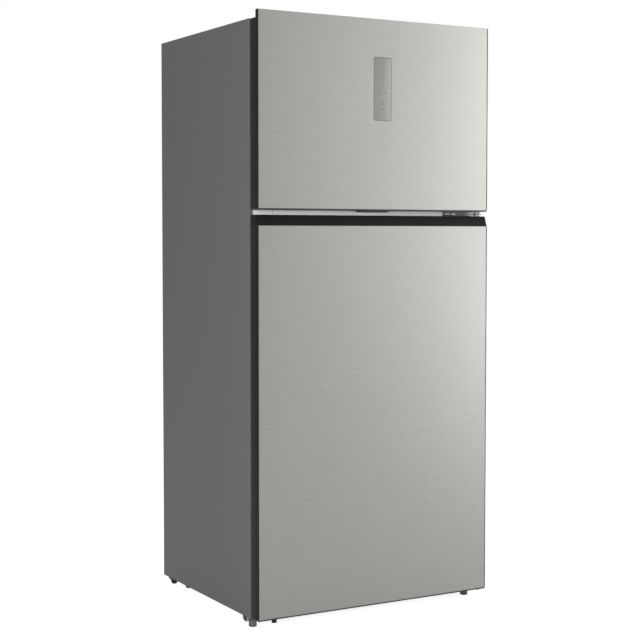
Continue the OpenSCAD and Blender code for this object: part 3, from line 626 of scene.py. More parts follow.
def streaks():
    """The effect of brushed steel, laid over the grain."""
    return effect("brushed_streaks", {
        "Colour": (COLOUR, (0.5, 0.5, 0.5, 1)), "Roughness": (FLOAT, 0.4),
        "Normal": (VECTOR, (0, 0, 0)), "Tone": (FLOAT, 0.3), "Spread": (FLOAT, 0.3),
        "Height": (FLOAT, 1e-5)},
        {"Colour": COLOUR, "Roughness": FLOAT, "Normal": VECTOR}, streak_nodes)


def finish_of(colour, roughness, tone=0.06, drift=0.04, spread=0.12, scale=500.0,
              stretch=(1, 1, 1), height=1.5e-5, metallic=0.0, brushed=0.0, **sockets):
    """The values that one finish gives to the grain, the streaks and the shader."""
    surface = {"Colour": colour, "Roughness": roughness, "Tone": tone, "Drift": drift,
               "Spread": spread, "Scale": scale, "Stretch": stretch, "Height": height}
    return surface, brushed, {"Metallic": metallic, **sockets}


FINISHES = {
    "door_steel": finish_of("door", 0.42, metallic=0.85, tone=0.02, drift=0.03,
                            scale=900.0, brushed=0.4, spread=0.05),
    "cabinet_paint": finish_of("cabinet", 0.44, tone=0.05, drift=0.04, scale=650.0,
                               height=3e-5, spread=0.1),
    "door_side": finish_of("door_side", 0.5, tone=0.08, scale=700.0, height=2e-5,
                           **{"Specular IOR Level": 0.2}),
    "handle_black": finish_of("handle", 0.5, tone=0.1, scale=900.0, height=8e-6,
                              **{"Specular IOR Level": 0.12}),
    "black_plastic": finish_of((0.022, 0.022, 0.023), 0.5, tone=0.2, scale=1600.0,
                               height=4e-5),
    "grey_plastic": finish_of((0.16, 0.16, 0.162), 0.48, tone=0.1, scale=1400.0,
                              height=3e-5),
    "white_liner": finish_of("liner", 0.22, tone=0.02, drift=0.02, scale=160.0,
                             height=4e-5),
    "white_plastic": finish_of((0.74, 0.75, 0.76), 0.3, tone=0.03, scale=800.0,
                               height=1e-5),
    # White plastic of the centre rail's strips: the rail is white, and its colour is raised above the other white
    # plastics as painted light, standing in for light that the gap between the doors keeps from it
    "bright_plastic": finish_of((0.92, 0.92, 0.92), 0.35, tone=0.02, scale=800.0),
    "panel_grey": finish_of("panel", 0.3, metallic=0.1, tone=0.03, scale=900.0,
                            height=4e-6),
    "panel_mark": finish_of((0.09, 0.09, 0.092), 0.5, tone=0.05, scale=900.0),
    "gasket_grey": finish_of((0.36, 0.365, 0.37), 0.62, tone=0.08, scale=700.0,
                             height=2e-5),
    "zinc_steel": finish_of((0.5, 0.51, 0.52), 0.38, metallic=0.85, tone=0.09, drift=0.08,
                            scale=160.0, height=6e-6, spread=0.1),
    "hinge_steel": finish_of((0.3, 0.3, 0.3), 0.34, metallic=1.0, tone=0.1,
                             scale=400.0, height=8e-6),
    "screw_steel": finish_of((0.62, 0.62, 0.6), 0.25, metallic=1.0, tone=0.1,
                             scale=600.0, height=5e-6),
    "black_enamel": finish_of((0.014, 0.014, 0.015), 0.26, tone=0.15, scale=300.0,
                              height=2e-5),
    "rubber": finish_of((0.03, 0.03, 0.03), 0.75, tone=0.2, scale=900.0, height=3e-5),
    "copper": finish_of((0.72, 0.36, 0.2), 0.34, metallic=1.0, tone=0.25, drift=0.35,
                        scale=120.0, spread=0.3),
    "aluminium": finish_of((0.74, 0.75, 0.76), 0.35, metallic=1.0, tone=0.08,
                           scale=500.0, stretch=(1, 1, 0.08), height=8e-6),
    "foot_grey": finish_of((0.15, 0.15, 0.152), 0.5, tone=0.12, scale=900.0,
                           height=3e-5),
    "roller_grey": finish_of((0.42, 0.42, 0.42), 0.45, tone=0.12, scale=800.0,
                             height=2e-5),
    "clear_plastic": finish_of((0.95, 0.98, 1.0), 0.07, tone=0.02, scale=300.0,
                               height=6e-6, **{"Transmission Weight": 0.92, "IOR": 1.3,
                                               "Alpha": 0.6}),
    "smoky_plastic": finish_of((0.93, 0.97, 0.99), 0.1, tone=0.03, scale=300.0,
                               height=8e-6, **{"Transmission Weight": 0.85, "IOR": 1.3,
                                               "Alpha": 0.65}),
    "shelf_glass": finish_of((0.86, 0.95, 0.93), 0.04, tone=0.01, scale=60.0,
                             height=2e-6, **{"Transmission Weight": 0.94, "IOR": 1.45,
                                             "Alpha": 0.75}),
    "lamp_cover": finish_of((0.9, 0.93, 0.96), 0.3, tone=0.02, scale=300.0,
                            **{"Emission Strength": 0.9,
                               "Emission Color": (0.9, 0.95, 1.0, 1.0)}),
    "clear_blue": finish_of((0.62, 0.8, 0.94), 0.22, tone=0.03, scale=500.0,
                            **{"Transmission Weight": 0.45, "IOR": 1.46}),
    "blue_plastic": finish_of((0.1, 0.28, 0.5), 0.34, tone=0.06, scale=900.0),
    "foam": finish_of((0.82, 0.68, 0.36), 0.85, tone=0.3, scale=260.0, height=3e-4),
}


def material(name):
    """The finished material of that name, made the first time it is asked for."""
    title = f"{name}_finish"
    made = bpy.data.materials.get(title)
    if made:
        return made
    surface, brushed, sockets = FINISHES[name]
    colour = surface["Colour"]
    if isinstance(colour, str):
        colour = getattr(colours(), colour)
    made = bpy.data.materials.new(title)
    made.use_nodes = True
    tree = made.node_tree
    shader = tree.nodes["Principled BSDF"]
    top = add(tree, "ShaderNodeGroup", {**surface, "Colour": (*colour, 1)}, node_tree=grain())
    if brushed:
        below = {key: top.outputs[key] for key in ("Colour", "Roughness", "Normal")}
        top = add(tree, "ShaderNodeGroup", {**below, "Tone": brushed}, node_tree=streaks())
    looks = {"Base Color": top.outputs["Colour"], "Roughness": top.outputs["Roughness"],
             "Normal": top.outputs["Normal"], **sockets}
    for socket, value in looks.items():
        join(tree, shader.inputs[socket], value)
    return made


# ---- Cabinet ----

class REFRIGERATOR_OT_cabinet_shell(bpy.types.Operator):
    """Folds the painted side sheets and the top sheet of the cabinet"""

    bl_idname = "refrigerator.cabinet_shell"
    bl_label = "Cabinet Shell"

    def execute(self, context):
        low, high = SIDE_LO, SIDE_HI
        path = [(-HALF_W + FLANGE, CAB_FRONT), (-HALF_W, CAB_FRONT),
                (-HALF_W, CAB_BACK), (-HALF_W + 9, CAB_BACK)]
        side = folded(path, (low.z, high.z), SHEET, (-1, 0, 0), radius=2.6)
        hem = box((-HALF_W + SHEET, CAB_FRONT + 4, low.z),
                  (-HALF_W + 14, CAB_BACK - 4, low.z + SHEET))
        left = joined(side, hem)
        for hand, sheets in (("left", left), ("right", mirrored(left.copy()))):
            build("cabinet_side_" + hand, "cabinet_paint", {"cabinet_paint": sheets},
                  "side_panel_" + hand)

        low, high = corners("top_panel")
        lid = box((low.x - 0.4, CAB_FRONT + 0.6, high.z - SHEET),
                  (high.x + 0.4, CAB_BACK - 0.4, high.z))
        crown = end_face(lid, "z", 1)
        inset(lid, crown, 16)
        inset(lid, crown, 4)
        bmesh.ops.translate(lid, verts=crown.verts, vec=(0, 0, -0.8))
        lip = folded([(-HALF_W + FLANGE, 0), (HALF_W - FLANGE, 0)], (0, FLANGE), SHEET,
                     (0, -1, 0))
        moved(lip, (0, CAB_FRONT, high.z - FLANGE - 0.4))
        plugs = [lathe([(0, 2.2), (5, 2), (7, 0.9), (7.4, 0), (0, 0)],
                       (x, CAB_FRONT + y, high.z - 1.2), steps=24)
                 for x, y in ((-292, 30), (-340, 30), (-316, 74))]
        build("cabinet_top", "cabinet_paint",
              {"cabinet_paint": [lid, lip], "grey_plastic": plugs}, "top_panel")
        return {"FINISHED"}


class REFRIGERATOR_OT_cabinet_back(bpy.types.Operator):
    """Presses the back sheet with its channels, and the louvred machine room cover"""

    bl_idname = "refrigerator.cabinet_back"
    bl_label = "Cabinet Back"

    def execute(self, context):
        low, high = corners("back_panel")
        room_top = corners("machine_room_cover")[1].z
        face = CAB_BACK - 0.05
        rise = (high.z - room_top) / 2
        sheet = box((low.x, face - SHEET, room_top), (high.x, face, high.z))
        channels = [dent(138 * index, face, room_top + rise, 13, rise - 90)
                    for index in range(-2, 3)]
        foam_holes = [(x, z) for x in (-207, 207) for z in (460, 1430)]
        holes = [bar("y", place, face - 2, face + 2, 18.3) for place in foam_holes]
        plugs = [lathe([(0, 0.9), (15, 0.8), (17.6, 0.1), (17.6, -1), (0, -1)],
                       (x, face - 0.95, z), "y", 32) for x, z in foam_holes]
        pressed = carved(sheet, joined(*channels), joined(*holes))
        shelf = box((low.x, low.y, room_top), (high.x, face - 0.1, room_top + SHEET))
        wall = box(low, (high.x, low.y + SHEET, room_top + SHEET))
        screws = [screw_head((x, face - 0.9, z), "y", height=0.9)
                  for x in (low.x + 12, high.x - 12) for z in (310, 660, 1010, 1360, 1690)]
        build("back_sheet", "back_steel",
              {"zinc_steel": [pressed, shelf, wall], "grey_plastic": plugs,
               "screw_steel": screws}, "back_panel", smooth=12.0)

        low, high = corners("machine_room_cover")
        plate = box(low, high, 3, "y", 0.4)
        slots, hoods = [], []
        for x in (-190, 190):
            for row in range(9):
                z = low.z + 36 + 20 * row
                slots.append(slit(x, z, 150, 8, (low.y - 1, high.y + 1), 3.9))
                hood = box((x - 148, high.y - 3, z + 5), (x + 148, high.y + 1, z + 5.8))
                hoods.append(turned(hood, 18, "X", (x, high.y, z + 5.5)))
        inlet = corners("power_inlet")[0]
        centre = middle("power_inlet")
        slots.append(bar("y", centre.xz, low.y - 5, high.y + 5, 15))
        screws = [screw_head((x, high.y, z), "y") for x in (-376, -20, 376)
                  for z in (low.z + 120, high.z - 10)]
        build("machine_room_louvres", "back_steel",
              {"zinc_steel": [carved(plate, joined(*slots)), *hoods],
               "screw_steel": screws}, "machine_room_cover")
        gland = lathe([(4.6, 0), (4.6, 13.6), (6, 14), (17, 13.6), (18, 12.4), (18, 11),
                       (15, 11), (14.8, 0), (4.6, 0)], (centre.x, inlet.y, centre.z), "y", 48)
        build("supply_gland", "black_plastic", {"black_plastic": gland}, "power_inlet")
        return {"FINISHED"}


def dent(x, face, z, half_x, half_z):
    """Cutter for a shallow pressed channel with sloping sides."""
    depth, slope = 0.75, 4
    bm = box((x - half_x, face - depth, z - half_z), (x + half_x, face + depth, z + half_z),
             corner=half_x - 0.1, axis="y")
    floor = [v for v in bm.verts if v.co.y < face]
    bmesh.ops.scale(bm, verts=floor, vec=(1 - slope / half_x, 1, 1 - slope / half_z),
                    space=Matrix.Translation((-x, 0, -z)))
    return bm


def slit(x, z, half, tall, depth, corner):
    """Cutter for a round-ended slot through an upright sheet, from its lower edge."""
    return box((x - half, depth[0], z), (x + half, depth[1], z + tall), corner, "y")


def screw_head(place, axis, radius=4.2, height=1.8, sign=1):
    """Pan head with a cross recess, standing on a face."""
    profile = [(0, height), (radius * 0.55, height * 0.96), (radius * 0.85, height * 0.7),
               (radius, height * 0.25), (radius, -0.4), (0, -0.4)]
    recess = [box((-radius * 0.5, -radius * 0.11, height * 0.45),
                  (radius * 0.5, radius * 0.11, height * 2)) for _ in range(2)]
    turned(recess[1], 90, "Z")
    head = carved(lathe(profile, (0, 0, 0), "z", 20), *recess)
    turned(head, {"z": 90 - 90 * sign, "y": -90 * sign}[axis], "X")
    return moved(head, place)


class REFRIGERATOR_OT_centre_rail(bpy.types.Operator):
    """White strip between the compartments, with a seam near its end, painted brighter than the other white plastics
    to stand in for light that the gap between the doors keeps from it
    """

    bl_idname = "refrigerator.centre_rail"
    bl_label = "Centre Rail"

    def execute(self, context):
        low, high = corners("centre_rail")
        seam, gap = low.x + 62, 0.5
        strips = []
        for start, end in ((low.x, seam - gap), (seam + gap, high.x)):
            strip = box((start, low.y, low.z), (end, low.y + 1, high.z))
            inset(strip, end_face(strip, "y", -1), 3)
            strips.append(strip)
        back = box((low.x, low.y + 0.8, low.z), (high.x, high.y + 3, high.z))
        # The strips take the white plastic that is painted brighter, as painted light for the shaded gap between the
        # doors
        build("centre_strip", "white_liner",
              {"bright_plastic": strips, "grey_plastic": back}, "centre_rail")
        return {"FINISHED"}


class REFRIGERATOR_OT_base(bpy.types.Operator):
    """Base frame, compressor tray and the black peg under the left corner"""

    bl_idname = "refrigerator.base"
    bl_label = "Base"

    def execute(self, context):
        dress("base_frame", "zinc_steel")
        dress("compressor_tray", "zinc_steel")
        low, high = corners("support_peg")
        centre = (low + high) / 2
        bottom = 1.5
        radius, tall = (high.x - low.x) / 2, high.z - bottom
        peg = lathe([(0, 0), (radius - 1.4, 0), (radius - 0.3, 0.7), (radius, 2),
                     (radius, tall), (0, tall)], (centre.x, centre.y, bottom), steps=32)
        build("front_peg", "black_plastic", {"black_plastic": peg}, "support_peg")
        return {"FINISHED"}


class REFRIGERATOR_OT_feet(bpy.types.Operator):
    """Turns the levelling feet with their ribbed rims and threaded studs"""

    bl_idname = "refrigerator.feet"
    bl_label = "Levelling Feet"

    def execute(self, context):
        height, pitch = 20, 1.5
        for side in ("left", "right"):
            low, high = corners("levelling_foot_" + side)
            place = ((low.x + high.x) / 2, (low.y + high.y) / 2, low.z)
            radius, tall = (high.x - low.x) / 2, high.z - low.z
            foot = lathe([(0, 0), (radius - 2.4, 0), (radius - 0.6, 0.8),
                          (radius - 0.4, height - 3), (radius, height - 2.4),
                          (radius, height - 0.6), (radius - 0.8, height), (0, height)],
                         place, steps=48)
            ribs = []
            for index in range(24):
                rib = box((radius - 1, -0.5, 2), (radius - 0.05, 0.5, height - 3), edge=0.2)
                ribs.append(moved(turned(rib, index * 15, "Z"), place))
            profile = [(0, height)]
            for turn in range(math.ceil((tall - height) / pitch - 0.99)):
                z = height + pitch * turn
                profile += [(4.3, z), (5, z + 0.6), (4.3, z + 1.2)]
            stud = lathe(profile + [(3.6, tall), (0, tall)], place, steps=28)
            build("foot_" + side, "foot_grey",
                  {"foot_grey": [foot, *ribs], "screw_steel": stud},
                  "levelling_foot_" + side, body="foot_" + side)
        return {"FINISHED"}


class REFRIGERATOR_OT_rollers(bpy.types.Operator):
    """Turns the four rollers and bends their brackets"""

    bl_idname = "refrigerator.rollers"
    bl_label = "Rollers"

    def execute(self, context):
        width = 12
        base, top = (corner.z for corner in corners("roller_brackets"))
        frames, axles = [], []
        for end, finish in (("front", "roller_grey"), ("rear", "rubber")):
            low, high = corners("rollers_" + end)
            y, z = (low.y + high.y) / 2, (low.z + high.z) / 2
            radius = (high.z - low.z) / 2
            half = [(2.8, 0), (radius * 0.42, 0), (radius * 0.48, 1.6), (radius * 0.8, 1.6),
                    (radius * 0.86, 0.2), (radius - 1, 0), (radius, 1)]
            profile = half + [(r, width - h) for r, h in reversed(half)] + half[:1]
            wheels = [lathe(profile, (x, y, z), "x", 48) for x in (low.x, high.x - width)]
            build("wheels_" + end, "roller_grey", {finish: wheels}, "rollers_" + end,
                  body="rollers_" + end)
            for inner in (low.x - 3, high.x - 15):
                for x in (inner, inner + 16):
                    ear = box((x, y - 9, base), (x + 2, y + 9, top))
                    soften(ear, 7, 6, test=lambda e: along("x")(e) and e.verts[0].co.z < z)
                    frames.append(soften(ear, 0.4, 2, SQUARE))
                frames.append(box((inner, y - 9, top - 1.6), (inner + 18, y + 14, top),
                                  edge=0.3))
                axles.append(bar("x", (y, z), inner - 0.8, inner + 18.8, 2.5, 20, 0.5))
        # Side plates from behind the front rollers to the back, y being the rear axle's
        outline = [(CAB_BACK - 1, top), (y - 142, top), (y - 132, 14), (y - 112, 12),
                   (y - 100, 22), (CAB_BACK - 16, 22), (CAB_BACK - 14, 13), (CAB_BACK - 1, 13)]
        low, high = corners("roller_brackets")
        for x in (low.x, high.x - 2):
            frames.append(plate_of([(x, *point) for point in outline], (2, 0, 0)))
        build("roller_frames", "black_plastic",
              {"black_plastic": frames, "screw_steel": axles}, "roller_brackets")
        return {"FINISHED"}


# ---- Hinges ----

def hinge_leaf(left, right, y, z):
    """Flat arm from a root edge to a round eye on the hinge axis."""
    eye = 9
    outline = [(left, y), (HINGE.x - eye * 0.6, HINGE.y - eye * 0.8),
               (HINGE.x + eye * 0.9, HINGE.y + eye * 0.435), (right, y)]
    arm = plate_of([(*point, z) for point in outline], (0, 0, LEAF))
    return fused(on_hinge(z, z + LEAF, eye, 40), arm)


def on_hinge(bottom, top, radius, steps=32, edge=0.0):
    """Round bar on the doors' hinge axis."""
    return bar("z", HINGE.xy, bottom, top, radius, steps, edge)


class REFRIGERATOR_OT_hinges(bpy.types.Operator):
    """Cuts the three hinge leaves with their pins, washers and screws"""

    bl_idname = "refrigerator.hinges"
    bl_label = "Hinges"

    def execute(self, context):
        pin = 4
        low, high = corners("top_hinge")
        plate = box((low.x, CAB_FRONT + 6, CAB_TOP), (HINGE.x - 20, high.y, CAB_TOP + LEAF), 6)
        arm = hinge_leaf(HINGE.x - 70, HINGE.x - 20, CAB_FRONT + 7, CAB_TOP)
        build("upper_hinge", "hinge_steel",
              {"hinge_steel": soften(fused(plate, arm), 0.3, 2, SQUARE),
               "screw_steel": on_hinge(low.z, high.z - 0.2, pin, edge=0.6)}, "top_hinge")

        low, high = corners("middle_hinge")
        mid = (UPPER_LO.z - 4 + CAP_HI.z) / 2
        plate = box((low.x, CAB_FRONT - LEAF, mid - 6), (HINGE.x - 8, CAB_FRONT, mid + 6), 3,
                    "y", 0.4)
        arm = hinge_leaf(HINGE.x - 68, HINGE.x + 6, CAB_FRONT - 1, mid - LEAF / 2)
        washers = [lathe([(pin, 0), (8.4, 0), (8.4, 1), (pin, 1), (pin, 0)],
                         (HINGE.x, HINGE.y, z), steps=32)
                   for z in (mid + LEAF / 2 + 0.1, mid - LEAF / 2 - 1.1)]
        build("centre_hinge", "hinge_steel",
              {"hinge_steel": [plate, soften(arm, 0.3, 2, SQUARE)], "white_plastic": washers,
               "screw_steel": on_hinge(low.z, high.z, pin, edge=0.6)}, "middle_hinge")

        low, high = corners("bottom_hinge")
        plate = box((low.x, CAB_FRONT + 2, low.z), (high.x, high.y, low.z + LEAF), 5)
        arm = hinge_leaf(HINGE.x - 50, high.x, CAB_FRONT + 3, low.z)
        hole = bar("z", middle("levelling_foot_right").xy, 0, 100, 5.4)
        build("lower_hinge", "hinge_steel",
              {"hinge_steel": soften(carved(fused(plate, arm), hole), 0.3, 2, SQUARE),
               "screw_steel": on_hinge(low.z, high.z, pin, edge=0.6)}, "bottom_hinge")

        heads = [screw_head((HINGE.x - x, CAB_FRONT + y, CAB_TOP + LEAF), "z", 5, 2.4)
                 for x, y in ((82, 30), (34, 30), (58, 74))]
        heads += [screw_head((HINGE.x - x, CAB_FRONT - LEAF, mid), "y", 4.8, 2.3, -1)
                  for x in (104, 80)]
        heads += [screw_head((HINGE.x - x, CAB_FRONT + 26, low.z), "z", 4.8, 2.3, -1)
                  for x in (66, 42)]
        build("hinge_screw_heads", "screw_steel", {"screw_steel": heads}, "hinge_screws")

        low, high = corners("top_hinge_cover")
        cover = box(low, high)
        soften(cover, 9, 5, test=lambda e: along("z")(e)
               or (min(v.co.z for v in e.verts) > CAB_TOP + 1 and along("x")(e)
                   and e.verts[0].co.y > CAB_FRONT))
        # A degree less, since the faces at its rounded corners meet at close to SQUARE
        soften(cover, 1.2, 3, SQUARE - 1,
               lambda e: min(v.co.z for v in e.verts) > CAB_TOP)
        hollow = box(low + Vector((2, 2, -5)), high - Vector((2, 2, 2)), 7)
        mouth = box((HINGE.x - 20, low.y - 1, low.z - 1),
                    (HINGE.x, CAB_FRONT + 6, low.z + 4))
        build("hinge_hood", "grey_plastic", {"grey_plastic": carved(cover, hollow, mouth)},
              "top_hinge_cover")
        return {"FINISHED"}


# ---- Doors ----

def door_front(side, low, high, *holes):
    """Brushed sheet that turns back inside the dark side strips, with hemmed ends."""
    left, right, back = low.x + DOOR_STRIP, high.x - DOOR_STRIP, FRONT_Y + 3.4
    bottom, top = low.z + 0.6, high.z - 0.6
    sheet = folded([(left, back), (left, FRONT_Y), (right, FRONT_Y), (right, back)],
                   (bottom, top), 0.8, (0, -1, 0), radius=size("sheet_radius"), steps=5)
    if holes:
        sheet = carved(sheet, *holes)
    hems = [box((low.x + 1, FRONT_Y + 0.5, z - 0.6), (high.x - 1, back, z + 0.6), edge=0.55)
            for z in (bottom, top)]
    build(side + "_door_sheet", "door_steel", {"door_steel": [sheet, *hems]},
          side + "_door_skin", body=side + "_door")


def door_edges(side, *spans):
    """Dark moulded strips down both edges of a door, flush with its sheet."""
    edges = [box((-HALF_W, FRONT_Y + 0.1, bottom), (-HALF_W + DOOR_STRIP, back, top),
                 edge=0.3) for bottom, top, back in spans]
    edges += [mirrored(edge.copy()) for edge in edges]
    build(side + "_door_edges", "door_side", {"door_side": edges},
          side + "_door_side_trims", body=side + "_door")


def door_foot(side):
    """Moulded cap under a door, bored for the hinge pin."""
    low, high = corners(side + "_door_bottom_cap")
    cap = box((low.x, FRONT_Y + 1.2, low.z), (high.x, DOOR_BACK, high.z), edge=0.8)
    build(side + "_door_foot", "black_plastic",
          {"black_plastic": carved(cap, on_hinge(low.z - 2, low.z + 12, PIN_BORE))},
          side + "_door_bottom_cap", body=side + "_door")


class REFRIGERATOR_OT_freezer_door(bpy.types.Operator):
    """Upper door: brushed sheet, dark edges, raised top strip, lower cap and grip"""

    bl_idname = "refrigerator.freezer_door"
    bl_label = "Freezer Door"

    def execute(self, context):
        panel_low, panel_high = corners("control_panel")
        gap = 0.35
        hole = box((panel_low.x - gap, FRONT_Y - 1, panel_low.z - gap),
                   (panel_high.x + gap, FRONT_Y + 2, panel_high.z + gap),
                   size("panel_radius") + gap, "y")
        door_front("freezer", UPPER_LO, UPPER_HI, hole)
        door_top, rear, top = CAB_TOP - 2, FRONT_Y + 13, UPPER_HI.z
        door_edges("freezer", (UPPER_LO.z, door_top, DOOR_BACK),
                   (door_top - 0.2, top - 0.4, rear))

        low, high = corners("freezer_door_top_cap")
        cap = box((low.x, FRONT_Y + 1, low.z), (high.x, DOOR_BACK, door_top))
        brim = box((low.x, FRONT_Y + 1, low.z + 1), (high.x, rear, top - 0.8))
        whole = soften(fused(cap, brim), 0.9, 3, SQUARE)
        collar = lathe([(PIN_BORE, -0.5), (PIN_BORE, 0.5), (7.6, 0.5), (7.6, -0.5),
                        (PIN_BORE, -0.5)], (HINGE.x, HINGE.y, door_top - 0.1), steps=32)
        build("freezer_door_brim", "grey_plastic",
              {"grey_plastic": carved(whole, on_hinge(low.z - 2, top, PIN_BORE)),
               "white_plastic": collar}, "freezer_door_top_cap", body="freezer_door")

        door_foot("freezer")
        foot = corners("freezer_door_bottom_cap")[0].z
        grip = box(*corners("freezer_door_grip"))
        soften(grip, 5, 5, test=lambda e: along("y")(e) and e.verts[0].co.z < foot)
        soften(grip, 1, 3, SQUARE)
        build("freezer_door_lip", "black_plastic", {"black_plastic": grip},
              "freezer_door_grip", body="freezer_door")
        return {"FINISHED"}


class REFRIGERATOR_OT_touch_panel(bpy.types.Operator):
    """Flush glass panel with its rows of plain marks"""

    bl_idname = "refrigerator.touch_panel"
    bl_label = "Touch Panel"

    def execute(self, context):
        low, high = corners("control_panel")
        rim, radius = 0.8, size("panel_radius")
        surround = ring(Vector((low.x, FRONT_Y + 0.02, low.z)),
                        Vector((high.x, FRONT_Y + 3, high.z)), rim, radius)
        pane = box((low.x + rim, FRONT_Y + 0.04, low.z + rim),
                   (high.x - rim, FRONT_Y + 3, high.z - rim), radius - rim, "y", 0.2)
        housing = box((low.x + 4, FRONT_Y + 2.9, low.z + 4),
                      (high.x - 4, high.y, high.z - 4), edge=0.8)
        marks = panel_marks((low.x + high.x) / 2, FRONT_Y, high.z, high.z - low.z)
        build("touch_panel", "panel",
              {"panel_grey": pane, "black_plastic": housing,
               "panel_mark": [surround, *marks]}, "control_panel", body="freezer_door")
        return {"FINISHED"}


def panel_marks(x, y, top, height):
    """Plain rings, bars and dots in one column."""
    marks = []
    depth = 0.3

    def dash(dx, share, width, tall):
        z = top - share * height
        marks.append(box((x + dx - width / 2, y, z - tall / 2),
                         (x + dx + width / 2, y + depth, z + tall / 2)))

    def loop(dx, share, radius, hollow):
        marks.append(lathe([(hollow, 0), (radius, 0), (radius, depth), (hollow, depth),
                            (hollow, 0)], (x + dx, y, top - share * height), "y", 24))

    for row in range(4):
        dash(0, 0.14 + 0.085 * row, 5, 1.1)
    marks.append(bar("y", (x, top - 0.475 * height), y, y + depth, 1.5, 20))
    for dx in (-9, 9):
        loop(dx, 0.56, 3.4, 2.5)
        dash(dx, 0.56, 2.6, 0.7)
    dash(9, 0.56, 0.7, 2.6)
    loop(0, 0.735, 3.2, 2.3)
    dash(0, 0.72, 0.9, 3)
    dash(0, 0.82, 13, 1.3)
    return marks


class REFRIGERATOR_OT_fridge_door(bpy.types.Operator):
    """Lower door: brushed sheet, dark edges, sloped black handle cap, lower cap"""

    bl_idname = "refrigerator.fridge_door"
    bl_label = "Fridge Door"

    def execute(self, context):
        door_front("fridge", LOWER_LO, LOWER_HI)
        door_edges("fridge", (LOWER_LO.z, LOWER_HI.z, DOOR_BACK))
        build("handle_cap", "black_plastic", {"handle_black": handle_cap()},
              "fridge_door_handle_cap", body="fridge_door")
        door_foot("fridge")
        return {"FINISHED"}


def handle_cap():
    """Cap whose front leans back over a groove for the fingers."""
    root, top, lean = LOWER_HI.z, CAP_HI.z, 11
    bm = box((-HALF_W, FRONT_Y + 0.5, root), (HALF_W, DOOR_BACK, top))
    front_top = [v for v in bm.verts if v.co.y < FRONT_Y + 1 and v.co.z > top - 1]
    bmesh.ops.translate(bm, verts=front_top, vec=(0, lean - 0.5, 0))
    soften(bm, 1.6, 4, 25.0, lambda e: min(v.co.y for v in e.verts) < FRONT_Y + 14
           and max(v.co.z for v in e.verts) > root + 2)
    soften(bm, 0.8, 2, SQUARE)
    inner = box((CAP_LO.x + 1, FRONT_Y + 1.2, CAP_LO.z), (CAP_HI.x - 1, DOOR_BACK, root + 1))
    groove = box((-HALF_W + 14, FRONT_Y + 20, top - 20), (HINGE.x - 40, FRONT_Y + 36, top + 10))
    soften(groove, 5, 6, test=lambda e: along("x")(e) and e.verts[0].co.z < top)
    soften(groove, 6, 6, SQUARE, along("z"))
    whole = carved(fused(bm, inner), groove, on_hinge(top - 12, top + 1, PIN_BORE))
    return soften(whole, 0.9, 3, SQUARE, lambda e: min(v.co.z for v in e.verts) > top - 0.5
                  and max(v.co.y for v in e.verts) < DOOR_BACK - 2)


# ---- Liners and insulation ----

def cavity(low, high):
    """Rounded hollow of a compartment, open past its mouth at the front."""
    return soften(box(low, high), size("cavity_radius") * 0.6, sizes().round_steps + 1,
                  test=lambda e: max(v.co.y for v in e.verts) > high[1] - 0.01
                  or along("y")(e))


def liner_blank(node, width, floor, ceiling):
    """A liner before it is hollowed: its shell and the flange round its mouth."""
    low, high = corners(node)
    plate = box((-HALF_W + FLANGE, CAB_FRONT, low.z),
                (HALF_W - FLANGE, CAB_FRONT + 0.9, high.z))
    shell = box((-width, CAB_FRONT + 0.4, floor), (width, high.y, ceiling))
    return fused(shell, plate), high.y - LINER_WALL


class REFRIGERATOR_OT_liners(bpy.types.Operator):
    """Vacuum-formed liners with rounded corners, shelf ledges and drawer runners"""

    bl_idname = "refrigerator.liners"
    bl_label = "Liners"

    def execute(self, context):
        width, floor, ceiling = HALF_W - 62, FREEZER_FLOOR, FREEZER_CEILING
        inner = width - LINER_WALL
        blank, rear = liner_blank("freezer_liner", width, floor, ceiling)
        hollow = cavity((-inner, CAB_FRONT - 5, floor + LINER_WALL),
                        (inner, rear, ceiling - LINER_WALL))
        ledges = ledge_pair(inner, corners("freezer_shelf")[0].z,
                            corners("evaporator_cover")[0].y - 6)
        build("freezer_cavity", "white_liner",
              {"white_liner": [soften_mouth(carved(blank, hollow)), *ledges]},
              "freezer_liner")

        width, floor, ceiling = HALF_W - 50, FRIDGE_FLOOR, FRIDGE_CEILING
        inner = width - LINER_WALL
        step_y, step_z = 92, corners("fridge_shelves")[0].z - 3
        blank, rear = liner_blank("fridge_liner", width, floor, ceiling)
        notch = box((-HALF_W, step_y, 0), (HALF_W, CAB_BACK, step_z))
        hollow = cavity((-inner, CAB_FRONT - 5, step_z + LINER_WALL),
                        (inner, rear, ceiling - LINER_WALL))
        pit = cavity((-inner, CAB_FRONT - 6, floor + LINER_WALL),
                     (inner, step_y - LINER_WALL, step_z + 40))
        whole = soften_mouth(carved(carved(blank, notch), fused(hollow, pit)))
        ledges = []
        for z, back in zip(fridge_shelf_heights(), (80, 240, 240, 240)):
            ledges += ledge_pair(inner, z, back)
        drawer_floor = corners("crisper_drawer")[0].z
        runners = [box((x - 6, -164, floor + LINER_WALL - 1), (x + 6, 84, drawer_floor - 0.3),
                       4, "z", 1) for x in (-240, 240)]
        build("fridge_cavity", "white_liner", {"white_liner": [whole, *ledges, *runners]},
              "fridge_liner")
        dress("insulation_foam", "foam")
        return {"FINISHED"}


def soften_mouth(bm):
    """Rolls the edge where a cavity opens into its flange."""
    def at_mouth(edge):
        return all(abs(v.co.y - CAB_FRONT) <= 0.01 for v in edge.verts) and any(
            abs(face.normal.y) < 0.5 and face.calc_center_median().y > CAB_FRONT + 10
            for face in edge.link_faces)
    return soften(bm, 3.5, 4, 40.0, at_mouth)


def ledge_pair(wall_x, z, back):
    """Rounded ledges on both side walls, under a shelf."""
    return [box((x - 5, -168, z - 7), (x + 5, back, z - 0.1), 4, "z", 1.6)
            for x in (4 - wall_x, wall_x - 4)]


def levels_of(node):
    """Heights at which a node's own mesh has vertices, from the lowest up."""
    return sorted({round(v.co.z / MM, 1) for v in frame["nodes"][node].data.vertices})


